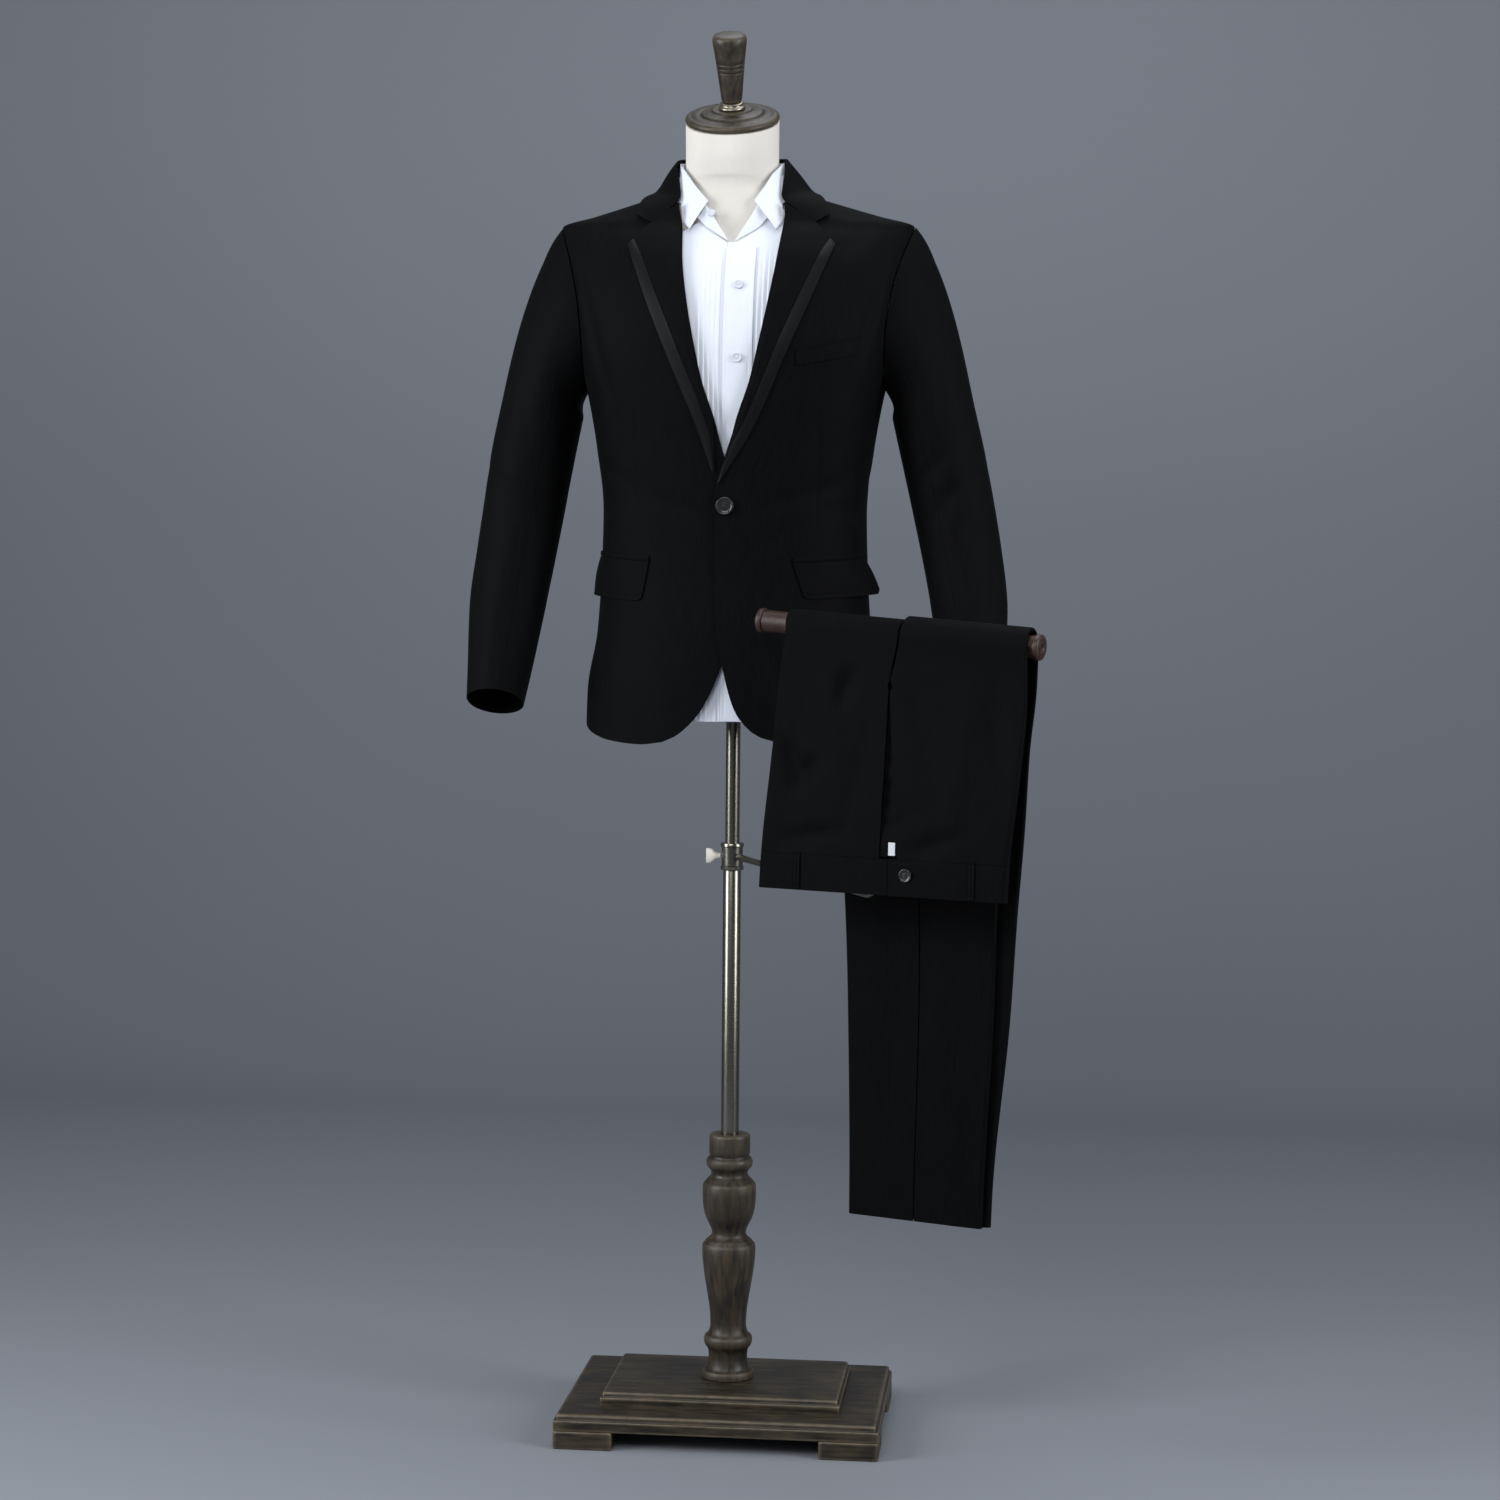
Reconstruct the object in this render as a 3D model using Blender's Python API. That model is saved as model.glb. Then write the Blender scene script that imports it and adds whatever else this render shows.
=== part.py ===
"""A tuxedo on a dress form stand: jacket, pleated shirt and trousers folded over the stand's rail.

Metres, +Z up, front facing -Y. Every cloth piece is a wall between two grids of points. Jacket and shirt
lie on one body surface, given by rings, and each layer is that surface moved in or out along its normal.
Places on the body are (angle, height): angle 0 is the front centre and 90 degrees the wearer's left side,
spread evenly along the outline as on a squashed circle.
"""

import math

import bpy
import numpy as np
from mathutils import Matrix

# Walls and gaps
SEAM = 0.0003
JACKET_WALL = 0.0016
SHIRT_WALL = 0.0012
TROUSER_WALL = 0.0014

# Body rings inside the jacket: height, half width, half depth, middle's y, roundness of the outline
BODY_RINGS = (
    (0.850, 0.1828, 0.1260, 0.005, 2.30),
    (0.930, 0.1800, 0.1240, 0.005, 2.30),
    (1.000, 0.1690, 0.1190, 0.003, 2.30),
    (1.077, 0.1640, 0.1130, 0.001, 2.30),
    (1.150, 0.1620, 0.1110, -0.001, 2.30),
    (1.226, 0.1700, 0.1140, -0.002, 2.35),
    (1.285, 0.1800, 0.1190, -0.002, 2.40),
    (1.343, 0.1930, 0.1205, -0.001, 2.50),
    (1.400, 0.2030, 0.1140, 0.002, 2.50),
    (1.450, 0.2110, 0.0980, 0.006, 2.50),
    (1.480, 0.2155, 0.0780, 0.009, 2.50),
    (1.500, 0.2175, 0.0620, 0.011, 2.40),
    (1.512, 0.1780, 0.0585, 0.012, 2.30),
    (1.524, 0.1380, 0.0560, 0.012, 2.20),
    (1.535, 0.1030, 0.0550, 0.012, 2.10),
    (1.546, 0.0735, 0.0550, 0.012, 2.00),
    (1.560, 0.0665, 0.0600, 0.010, 2.00),
    (1.600, 0.0655, 0.0625, 0.006, 2.00),
    (1.680, 0.0655, 0.0625, 0.004, 2.00),
)
# How far the neck leans to the wearer's right, and the height where the lean starts and its rise
NECK_LEAN, LEAN_FOOT, LEAN_RISE = 0.008, 1.485, 0.090

# How far the shirt's outside and the linen form's surface lie inside the jacket: height, shirt, form
LAYER_DEPTHS = (
    (0.850, 0.0100, 0.0280),
    (1.000, 0.0075, 0.0260),
    (1.150, 0.0070, 0.0240),
    (1.226, 0.0072, 0.0220),
    (1.285, 0.0064, 0.0200),
    (1.343, 0.0058, 0.0180),
    (1.400, 0.0052, 0.0150),
    (1.450, 0.0048, 0.0120),
    (1.480, 0.0048, 0.0105),
    (1.530, 0.0048, 0.0098),
    (1.560, 0.0046, 0.0084),
    (1.680, 0.0046, 0.0072),
)

# Armhole on the body surface: an oval of heights, drawn in from the side towards front and back
ARMHOLE_MIDDLE, ARMHOLE_HALF_HEIGHT = 1.400, 0.100
ARMHOLE_FRONT, ARMHOLE_BACK = 24.0, 31.0
SIDE_SEAM = 90.0

# Jacket front edge, from the rounded hem corner up the overlap and the roll line to the shoulder seam:
# share of the way up, distance past the centre line, height
FRONT_EDGE = (
    (0.000, 0.0750, 0.8690),
    (0.015, 0.0575, 0.8770),
    (0.030, 0.0400, 0.8920),
    (0.050, 0.0250, 0.9110),
    (0.075, 0.0120, 0.9370),
    (0.100, 0.0035, 0.9580),
    (0.130, -0.0040, 0.9800),
    (0.180, -0.0090, 1.0130),
    (0.250, -0.0115, 1.0600),
    (0.400, -0.0120, 1.1630),
    (0.440, -0.0085, 1.1900),
    (0.485, 0.0030, 1.2200),
    (0.540, 0.0135, 1.2600),
    (0.600, 0.0290, 1.3060),
    (0.650, 0.0390, 1.3500),
    (0.710, 0.0490, 1.4000),
    (0.780, 0.0570, 1.4500),
    (0.860, 0.0625, 1.5000),
    (0.930, 0.0680, 1.5300),
    (1.000, 0.0735, 1.5460),
)
# Hem of a front, from the rounded corner to the side seam: share, distance from the centre line, height
FRONT_HEM = (
    (0.00, 0.0750, 0.8690),
    (0.14, 0.1020, 0.8655),
    (0.45, 0.1450, 0.8690),
    (0.70, 0.1720, 0.8780),
    (1.00, 0.1816, 0.8890),
)
BACK_HEM = 0.886
BACK_NECK = 1.553
# Shoulder seam on the body's side line: share from neck to shoulder point, height
SHOULDER_SEAM = ((0.0, 1.546), (0.21, 1.535), (0.465, 1.524), (0.755, 1.512), (1.0, 1.500))
ROWS_BELOW_ARMPIT = (0.0, 0.015, 0.03, 0.05, 0.08, 0.12, 0.17, 0.23, 0.28, 0.34, 0.41, 0.48, 0.54, 0.60)
ARMHOLE_ROWS = 10
LAID = 0.0006
ARMPIT_SHARE = 0.60
OVERLAP_LIFT, OVERLAP_REACH = 0.0024, 0.060

# Lapel, distances from the centre line and heights, from the break up
LAPEL_OUTER = ((0.0, 1.178), (0.0360, 1.254), (0.0705, 1.335), (0.1000, 1.405), (0.1257, 1.470))
LAPEL_BREAK_LEFT, LAPEL_BREAK_RIGHT = (-0.0100, 1.184), (0.0125, 1.198)
LAPEL_NOTCH, GORGE_TOP = (0.0980, 1.500), (0.0640, 1.524)
LAPEL_TRIM_WIDTH = 0.0105

# Collar fall from the front corner round to the back: share, angle and height at the roll, at the outer edge
COLLAR_FALL = (
    (0.00, 23.3, 1.5000, 34.0, 1.5080),
    (0.14, 25.4, 1.5160, 54.6, 1.5250),
    (0.30, 37.0, 1.5360, 79.6, 1.5345),
    (0.45, 83.6, 1.5790, 99.6, 1.5380),
    (0.65, 119.3, 1.5880, 132.3, 1.5420),
    (1.00, 180.0, 1.5930, 180.0, 1.5480),
)

# Sleeve below the armpit: height, middle's x and y, half width across, half depth
SLEEVE_SECTIONS = (
    (1.275, 0.2430, 0.0060, 0.0505, 0.0620),
    (1.215, 0.2548, 0.0020, 0.0510, 0.0595),
    (1.155, 0.2644, -0.0035, 0.0504, 0.0562),
    (1.095, 0.2731, -0.0132, 0.0492, 0.0537),
    (1.041, 0.2800, -0.0270, 0.0476, 0.0520),
    (1.000, 0.2830, -0.0400, 0.0442, 0.0510),
    (0.960, 0.2852, -0.0540, 0.0400, 0.0500),
    (0.914, 0.2880, -0.0720, 0.0350, 0.0480),
)
SLEEVE_CROWN_ROWS = (0.0, 0.12, 0.30, 0.52, 0.75)
# How the crown leaves the armhole, from the armpit (0) to the shoulder point (1): outwards, up
CROWN_LEAD = ((0.0, 0.050, -0.075), (0.5, 0.116, -0.098), (1.0, 0.125, -0.170))
# How far the cuff of the wearer's left sleeve swings out beyond the right one's
LEFT_SWING, SWING_TOP, SWING_DROP = 0.013, 1.320, 0.320
# First and last ring point of the under sleeve, of the 16 points round, counted from the top by the front
UNDER_SLEEVE = (5, 11)

# Flap pockets on the jacket front: angle and height of the corners, seam side first
FLAP_TOP = ((26.6, 1.087), (78.2, 1.094))
FLAP_LOW = ((31.3, 1.0435), (85.9, 1.050))
JET_HEIGHT = 0.006
# How far the lower back corner of the left and right flap stands off the skirt
FLAP_FLARE = (0.013, 0.006)
WELT_LOW, WELT_TOP = ((0.084, 1.3238), (0.160, 1.3416)), ((0.084, 1.3420), (0.160, 1.3600))
JACKET_BUTTON = (0.0, 1.1556, 0.0110, 0.0040)

# Shirt
SHIRT_HEM = 0.895
SHIRT_OPENING = 0.0135
PLACKET_WIDTH = 0.036
TUCKS, TUCK_PITCH, TUCK_HEIGHT = 5, 0.0062, 0.0008
SHIRT_BUTTON_HEIGHTS = (1.422, 1.333, 1.244)
SHIRT_BUTTON = (0.0055, 0.0022)
# Neckline of the shirt from the bottom of the open collar to the shoulder seam: share, x, height
SHIRT_NECKLINE = ((0.0, 0.006, 1.4790), (0.35, 0.030, 1.4970), (0.7, 0.057, 1.5150), (1.0, 0.0735, 1.5250))
# Collar stand from the front end to the back: share, angle and height below, angle and height above
SHIRT_STAND = (
    (0.00, 0.4, 1.4790, 7.4, 1.5165),
    (0.25, 5.5, 1.4970, 27.0, 1.5400),
    (0.42, 20.3, 1.5220, 55.8, 1.5620),
    (0.58, 90.0, 1.5490, 87.9, 1.5780),
    (1.00, 180.0, 1.5560, 180.0, 1.5880),
)
# Collar leaf from its front edge to the back: share, angle and height at the fold, at the outer edge
SHIRT_LEAF = (
    (0.00, 12.1, 1.5290, 10.2, 1.4932),
    (0.22, 34.8, 1.5460, 15.4, 1.5080),
    (0.42, 53.7, 1.5620, 38.3, 1.5360),
    (0.58, 87.9, 1.5790, 84.0, 1.5560),
    (1.00, 180.0, 1.5890, 180.0, 1.5650),
)

COLLAR_SHARES = (0.42, 0.5, 0.58, 0.65, 0.72, 0.79, 0.86, 0.93, 1.0)

# Dress form
FORM_BOTTOM = 0.935
NECK_TILT = math.radians(24.0)
NECK_TOP = 1.628
# Profiles are (radius, height along the axis)
CAP_PROFILE = (
    (0.0, 0.0), (0.0530, 0.0), (0.0575, 0.0015), (0.0585, 0.0045), (0.0565, 0.0080), (0.0520, 0.0095),
    (0.0400, 0.0105), (0.0385, 0.0125), (0.0250, 0.0140), (0.0240, 0.0160), (0.0, 0.0160),
)
FINIAL_PROFILE = (
    (0.0, 0.0), (0.0105, 0.0), (0.0125, 0.0020), (0.0105, 0.0040), (0.0095, 0.0050), (0.0110, 0.0070),
    (0.0095, 0.0090), (0.0110, 0.0093), (0.0125, 0.0120), (0.0150, 0.0320), (0.0142, 0.0340), (0.0160, 0.0370),
    (0.0152, 0.0400), (0.0172, 0.0440), (0.0200, 0.0710), (0.0215, 0.0810), (0.0208, 0.0880),
    (0.0160, 0.0920), (0.0, 0.0930),
)
COLUMN_PROFILE = (
    (0.0, 0.0600), (0.0320, 0.0600), (0.0325, 0.0690), (0.0270, 0.0740), (0.0245, 0.0830), (0.0255, 0.0980),
    (0.0300, 0.1040), (0.0305, 0.1100), (0.0255, 0.1160), (0.0225, 0.1270), (0.0240, 0.1500),
    (0.0300, 0.1850), (0.0335, 0.2120), (0.0335, 0.2280), (0.0300, 0.2340), (0.0215, 0.2430),
    (0.0235, 0.2520), (0.0310, 0.2680), (0.0335, 0.2850), (0.0335, 0.3050), (0.0290, 0.3120),
    (0.0230, 0.3180), (0.0235, 0.3230), (0.0290, 0.3300), (0.0290, 0.3370), (0.0245, 0.3420),
    (0.0255, 0.3450), (0.0255, 0.3700), (0.0, 0.3700),
)
BASE_SIZE, BASE_FOOT_HEIGHT, FOOT_LENGTH = (0.400, 0.288), 0.0222, 0.073
# The base's two moulded plates: width, depth, height
BASE_PLATES = (
    (0.4000, 0.2880, 0.0225), (0.4000, 0.2880, 0.0353), (0.3940, 0.2820, 0.0370), (0.3930, 0.2810, 0.0410),
    (0.3872, 0.2752, 0.0426), (0.2980, 0.1920, 0.0429), (0.2980, 0.1920, 0.0523), (0.2930, 0.1870, 0.0540),
    (0.2924, 0.1864, 0.0580), (0.2880, 0.1820, 0.0594),
)
POLE_RADIUS, INNER_POLE_RADIUS = 0.0112, 0.0098
CLAMP_HEIGHT, CLAMP_LENGTH, CLAMP_RADIUS = 0.7206, 0.034, 0.0165

# Trouser rail: the dowel's middle, how far its right end turns to the front, and its slope
RAIL_MIDDLE = (0.218, -0.255, 1.0075)
RAIL_TURN = math.radians(22.0)
RAIL_SLOPE = math.tan(math.radians(3.9))
DOWEL_RADIUS, DOWEL_HALF_LENGTH = 0.0130, 0.172
ROD_RADIUS, ROD_BEND = 0.0040, 0.014
ELBOW = (-0.033, 0.0, -0.304)
DOWEL_CAP = (0.0150, 0.0080)

# Trousers, in the rail's frame: s along the rail, q to the front, h up from the dowel's middle
FRONT_DROP, BACK_DROP = 0.300, 0.696
BAND_HEIGHT = 0.042
WAIST_THICKNESS = 0.0120
# The inner face of the fold over the dowel: drop below the dowel's middle, q before and behind
FRONT_HANG = ((0.0, 0.0137), (0.10, 0.0150), (0.20, 0.0185), (0.31, 0.0210))
BACK_HANG = ((0.0, 0.0137), (0.10, 0.0240), (0.20, 0.0360), (0.30, 0.0465), (0.45, 0.0510), (0.70, 0.0530))
# Legs as flat tubes along the fold. Length from the waist edge; left edge; right edge; thickness;
# height off the fold's inner face; how far the seams have turned; closing of the tube at the crotch
INNER_LEG = (
    (0.000, -0.163, -0.0060, 0.0120, 0.0003, 0.0, 0.0),
    (0.042, -0.161, -0.0050, 0.0120, 0.0003, 0.0, 0.0),
    (0.140, -0.152, -0.0025, 0.0095, 0.0003, 0.0, 0.0),
    (0.240, -0.144, -0.0003, 0.0058, 0.0003, 0.0, 0.0),
    (0.290, -0.1375, 0.0080, 0.0038, 0.0003, 0.0, 0.8),
    (0.330, -0.137, 0.0125, 0.0034, 0.0003, 0.1, 1.0),
    (0.390, -0.130, 0.0600, 0.0034, 0.0003, 0.5, 1.0),
    (0.470, -0.113, 0.1030, 0.0050, 0.0003, 0.9, 1.0),
    (0.560, -0.098, 0.1150, 0.0065, 0.0003, 1.0, 1.0),
    (0.660, -0.089, 0.1080, 0.0075, 0.0003, 1.0, 1.0),
    (0.800, -0.085, 0.1030, 0.0088, 0.0003, 1.0, 1.0),
    (1.000, -0.082, 0.0920, 0.0102, 0.0003, 1.0, 1.0),
    (1.100, -0.082, 0.0900, 0.0102, 0.0003, 1.0, 1.0),
)
OUTER_LEG = (
    (0.000, 0.0178, 0.1530, 0.0120, 0.0003, 0.0, 0.0),
    (0.042, 0.0170, 0.1550, 0.0120, 0.0003, 0.0, 0.0),
    (0.140, 0.0085, 0.1640, 0.0095, 0.0003, 0.0, 0.0),
    (0.240, 0.0003, 0.1700, 0.0058, 0.0003, 0.0, 0.0),
    (0.270, 0.0060, 0.1695, 0.0048, 0.0008, 0.0, 0.5),
    (0.300, 0.0118, 0.1690, 0.0044, 0.0026, 0.0, 0.9),
    (0.325, 0.0140, 0.1680, 0.0042, 0.0041, 0.1, 1.0),
    (0.390, -0.0300, 0.1640, 0.0042, 0.0043, 0.5, 1.0),
    (0.470, -0.0560, 0.1520, 0.0050, 0.0059, 0.9, 1.0),
    (0.560, -0.0630, 0.1420, 0.0065, 0.0075, 1.0, 1.0),
    (0.660, -0.0640, 0.1300, 0.0075, 0.0086, 1.0, 1.0),
    (0.800, -0.0650, 0.1190, 0.0088, 0.0099, 1.0, 1.0),
    (1.000, -0.0650, 0.0985, 0.0102, 0.0113, 1.0, 1.0),
    (1.100, -0.0650, 0.0955, 0.0102, 0.0113, 1.0, 1.0),
)
LEG_ROWS = (0.042, 0.09, 0.14, 0.19, 0.225, 0.25, 0.27, 0.286, 0.300, 0.3086, 0.3172, 0.3258, 0.3344, 0.343,
            0.37, 0.41, 0.46, 0.54, 0.66, 0.82)
BELT_LOOPS = (-0.112, 0.110)
BACK_LOOPS = (-0.085, 0.0, 0.085)
LOOP_WIDTH = 0.010


def finish(name, colour, roughness, metallic=0.0):
    """A Principled material; colour is linear red, green and blue."""
    made = bpy.data.materials.new(name)
    made.use_nodes = True
    shader = made.node_tree.nodes["Principled BSDF"]
    shader.inputs["Base Color"].default_value = (*colour, 1.0)
    shader.inputs["Roughness"].default_value = roughness
    shader.inputs["Metallic"].default_value = metallic
    made.diffuse_color = (*colour, 1.0)
    return made


def solid(name, points, faces, material):
    """One closed body as an object, with its faces turned outwards."""
    points = np.asarray(points, float)
    corners = [[points[f[0]], points[f[i]], points[f[i + 1]]] for f in faces for i in range(1, len(f) - 1)]
    if np.linalg.det(np.array(corners)).sum() < 0:
        faces = [face[::-1] for face in faces]
    mesh = bpy.data.meshes.new(name)
    mesh.from_pydata([tuple(p) for p in points], [], faces)
    mesh.materials.append(material)
    mesh.shade_smooth()
    mesh.set_sharp_from_angle(angle=math.radians(40))
    thing = bpy.data.objects.new(name, mesh)
    bpy.context.scene.collection.objects.link(thing)
    return thing


def wall(name, outer, inner, material, tube=False):
    """A wall between two grids of points (rows, columns, 3), closed round its edge. A tube closes on itself."""
    rows, columns = outer.shape[:2]
    count = rows * columns
    faces = []
    for r in range(rows - 1):
        for c in range(columns if tube else columns - 1):
            quad = [r * columns + c, r * columns + (c + 1) % columns]
            quad += [quad[1] + columns, quad[0] + columns]
            faces.append(quad)
            faces.append([count + i for i in reversed(quad)])
    if tube:
        last = (rows - 1) * columns
        low = [(c, (c + 1) % columns) for c in range(columns)]
        rim = [(b, a) for a, b in low] + [(last + a, last + b) for a, b in low]
    else:
        edge = list(range(columns)) + [r * columns + columns - 1 for r in range(1, rows)]
        edge += [(rows - 1) * columns + c for c in range(columns - 2, -1, -1)]
        edge += [r * columns for r in range(rows - 2, 0, -1)]
        rim = [(b, a) for a, b in zip(edge, edge[1:] + edge[:1])]
    faces += [[a, b, count + b, count + a] for a, b in rim]
    return solid(name, np.concatenate([outer.reshape(-1, 3), inner.reshape(-1, 3)]), faces, material)


def through(table, at):
    """The other columns of a table at given values of its first column: a cubic between rows, no overshoot."""
    rows = np.asarray(table, float)
    at = np.asarray(at, float)
    keys, values = rows[:, 0], rows[:, 1:]
    rise = np.diff(values, axis=0) / np.diff(keys)[:, None]
    slope = np.zeros_like(values)
    product = rise[1:] * rise[:-1]
    total = rise[1:] + rise[:-1]
    slope[1:-1] = np.where(product > 0, 2 * product / np.where(product > 0, total, 1.0), 0.0)
    slope[0], slope[-1] = rise[0], rise[-1]
    i = np.clip(np.searchsorted(keys, at, side="right") - 1, 0, len(keys) - 2)
    span = (keys[i + 1] - keys[i])[..., None]
    t = np.clip((at - keys[i])[..., None] / span, 0.0, 1.0)
    low, high = (1 + 2 * t) * (1 - t) ** 2, t * t * (3 - 2 * t)
    tangents = t * (1 - t) ** 2 * slope[i] - t * t * (1 - t) * slope[i + 1]
    return low * values[i] + high * values[i + 1] + tangents * span


def smooth(t):
    """0 to 1 with level ends."""
    t = np.clip(t, 0.0, 1.0)
    return t * t * (3 - 2 * t)


def body_surface(angle, height):
    """The body's point at an angle in degrees and a height: x = a sin^(2/n), y = middle - b cos^(2/n)."""
    ring = through(BODY_RINGS, height)
    a, b, middle, n = (ring[..., i] for i in range(4))
    turn = np.radians(angle)
    side, front = np.sin(turn), np.cos(turn)
    x = a * np.sign(side) * np.abs(side) ** (2 / n)
    y = middle - b * np.sign(front) * np.abs(front) ** (2 / n)
    x = x - NECK_LEAN * smooth((height - LEAN_FOOT) / LEAN_RISE)
    return np.stack([x, y, height + 0 * x], -1)


def on_body(angle, height, out):
    """The body's point moved out along the normal."""
    angle, height = np.broadcast_arrays(np.asarray(angle, float), np.asarray(height, float))
    across = body_surface(angle + 0.4, height) - body_surface(angle - 0.4, height)
    up = body_surface(angle, height + 0.0015) - body_surface(angle, height - 0.0015)
    normal = np.cross(across, up)
    normal /= np.linalg.norm(normal, axis=-1, keepdims=True)
    return body_surface(angle, height) + np.asarray(out)[..., None] * normal


def angle_at(x, height):
    """The angle of the body's front point at a distance x from the centre line."""
    ring = through(BODY_RINGS, height)
    share = np.clip(np.abs(x) / ring[..., 0], 0.0, 1.0)
    return np.sign(x) * np.degrees(np.arcsin(share ** (ring[..., 3] / 2)))


def layer_depth(height, layer):
    """How far the shirt (0) or the form (1) lies inside the jacket at a height."""
    return through(LAYER_DEPTHS, height)[..., layer]


def front_curve(table):
    """A table of (share, x, height) as a function of the share that gives angle and height."""

    def place(share):
        x, height = np.moveaxis(through(table, share), -1, 0)
        return np.stack([angle_at(x, height), height], -1)

    return place


def patch(inner, outer, low, high, u, v):
    """Angles and heights in a four-sided patch between its edge curves; u runs from inner to outer edge."""
    u, v = u[..., None], v[..., None]
    flat_u, flat_v = u[..., 0], v[..., 0]
    corners = (1 - u) * ((1 - v) * inner(0.0) + v * inner(1.0)) + u * ((1 - v) * outer(0.0) + v * outer(1.0))
    sides = (1 - u) * inner(flat_v) + u * outer(flat_v)
    return sides + (1 - v) * low(flat_u) + v * high(flat_u) - corners


def grid(u, v):
    """Two arrays of a grid from its column and row values."""
    return np.meshgrid(np.asarray(u, float), np.asarray(v, float))


def laid(name, places, low, thickness, material, side=1):
    """A cloth piece on the body: its grid of (angle, height), lifted from low to low + thickness."""
    angle, height = side * places[..., 0], places[..., 1]
    outer = on_body(angle, height, low + thickness)
    inner = on_body(angle, height, low)
    return wall(name, outer, inner, material)


def armhole(turn, depth_shift=0.0):
    """Angle and height on the armhole; turn is 0 at the shoulder point, 180 at the armpit, by the front."""
    t = np.radians(turn)
    swing = np.where(np.sin(t) >= 0, ARMHOLE_FRONT, ARMHOLE_BACK)
    height = ARMHOLE_MIDDLE + (ARMHOLE_HALF_HEIGHT - depth_shift) * np.cos(t)
    return np.stack([90.0 - swing * np.sin(t), height], -1)


def shoulder_seam(share, side):
    """Angle and height on the shoulder seam, half a gap off it to the front (-1) or back (1)."""
    return np.stack([90.0 + 0.08 * side + 0 * share, through(SHOULDER_SEAM, share)[..., 0]], -1)


def body_rows(share, hem, front):
    """The outer edge of a front or back panel: side seam up to the armpit, then the armhole."""
    below = np.clip(share / ARMPIT_SHARE, 0.0, 1.0)
    above = np.clip((share - ARMPIT_SHARE) / (1 - ARMPIT_SHARE), 0.0, 1.0)
    seam_height = hem + (ARMHOLE_MIDDLE - ARMHOLE_HALF_HEIGHT - hem) * below
    seam = np.stack([SIDE_SEAM + 0 * share, seam_height], -1)
    turn = 180.0 - 180.0 * above if front else 180.0 + 180.0 * above
    return np.where((share > ARMPIT_SHARE)[..., None], armhole(turn), seam)


ABOVE_ARMPIT = tuple(ARMPIT_SHARE + (1 - ARMPIT_SHARE) * (i + 1) / ARMHOLE_ROWS for i in range(ARMHOLE_ROWS))
PANEL_ROWS = ROWS_BELOW_ARMPIT + ABOVE_ARMPIT


def in_from_seams(u, first, last):
    """Column values drawn in by half a seam gap at chosen ends."""
    u = np.array(u, float)
    return u * (1 - 0.0003 * last) + 0.0002 * first * (1 - u)


def overlap(height):
    """1 where the fronts lie over one another, fading out above the button."""
    return 1 - smooth((height - 1.215) / 0.05)


def jacket_front(name, side, lift, material):
    """A front panel; the one on top is lifted where the two overlap."""
    columns = in_from_seams((0, 0.07, 0.16, 0.28, 0.42, 0.56, 0.7, 0.85, 1.0), 0, 1)
    u, v = grid(columns, PANEL_ROWS)
    hem_end = FRONT_HEM[-1][2]
    places = patch(
        front_curve(FRONT_EDGE), lambda s: body_rows(np.asarray(s, float), hem_end, True),
        front_curve(FRONT_HEM), lambda s: shoulder_seam(np.asarray(s, float), -1), u, v,
    )
    across = on_body(places[..., 0], places[..., 1], 0.0)[..., 0]
    raised = lift * (1 - smooth((across - 0.014) / (OVERLAP_REACH - 0.014))) * overlap(places[..., 1])
    return laid(name, places, raised, JACKET_WALL, material, side)


def jacket_back(name, side, material):
    """A back panel from the centre seam to the side seam, armhole, shoulder and back neck."""
    u, v = grid(in_from_seams((0, 0.14, 0.28, 0.42, 0.6, 0.8, 1.0), 1, 1), PANEL_ROWS)

    def centre(share):
        share = np.asarray(share, float)
        return np.stack([180.0 + 0 * share, BACK_HEM + (BACK_NECK - BACK_HEM) * share], -1)

    def low(share):
        share = np.asarray(share, float)
        return np.stack([180.0 - 90.0 * share, BACK_HEM + (FRONT_HEM[-1][2] - BACK_HEM) * share], -1)

    def high(share):
        share = np.asarray(share, float)
        neck = np.clip(share / 0.42, 0.0, 1.0)
        seam = shoulder_seam(np.clip((share - 0.42) / 0.58, 0.0, 1.0), 1)
        across = np.stack([180.0 - 90.0 * neck, BACK_NECK - (BACK_NECK - 1.546) * neck**2], -1)
        return np.where((share > 0.42)[..., None], seam, across)

    def outer(share):
        return body_rows(np.asarray(share, float), FRONT_HEM[-1][2], False)

    places = patch(centre, outer, low, high, u, v)
    return laid(name, places, 0.0, JACKET_WALL, material, side)


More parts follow.
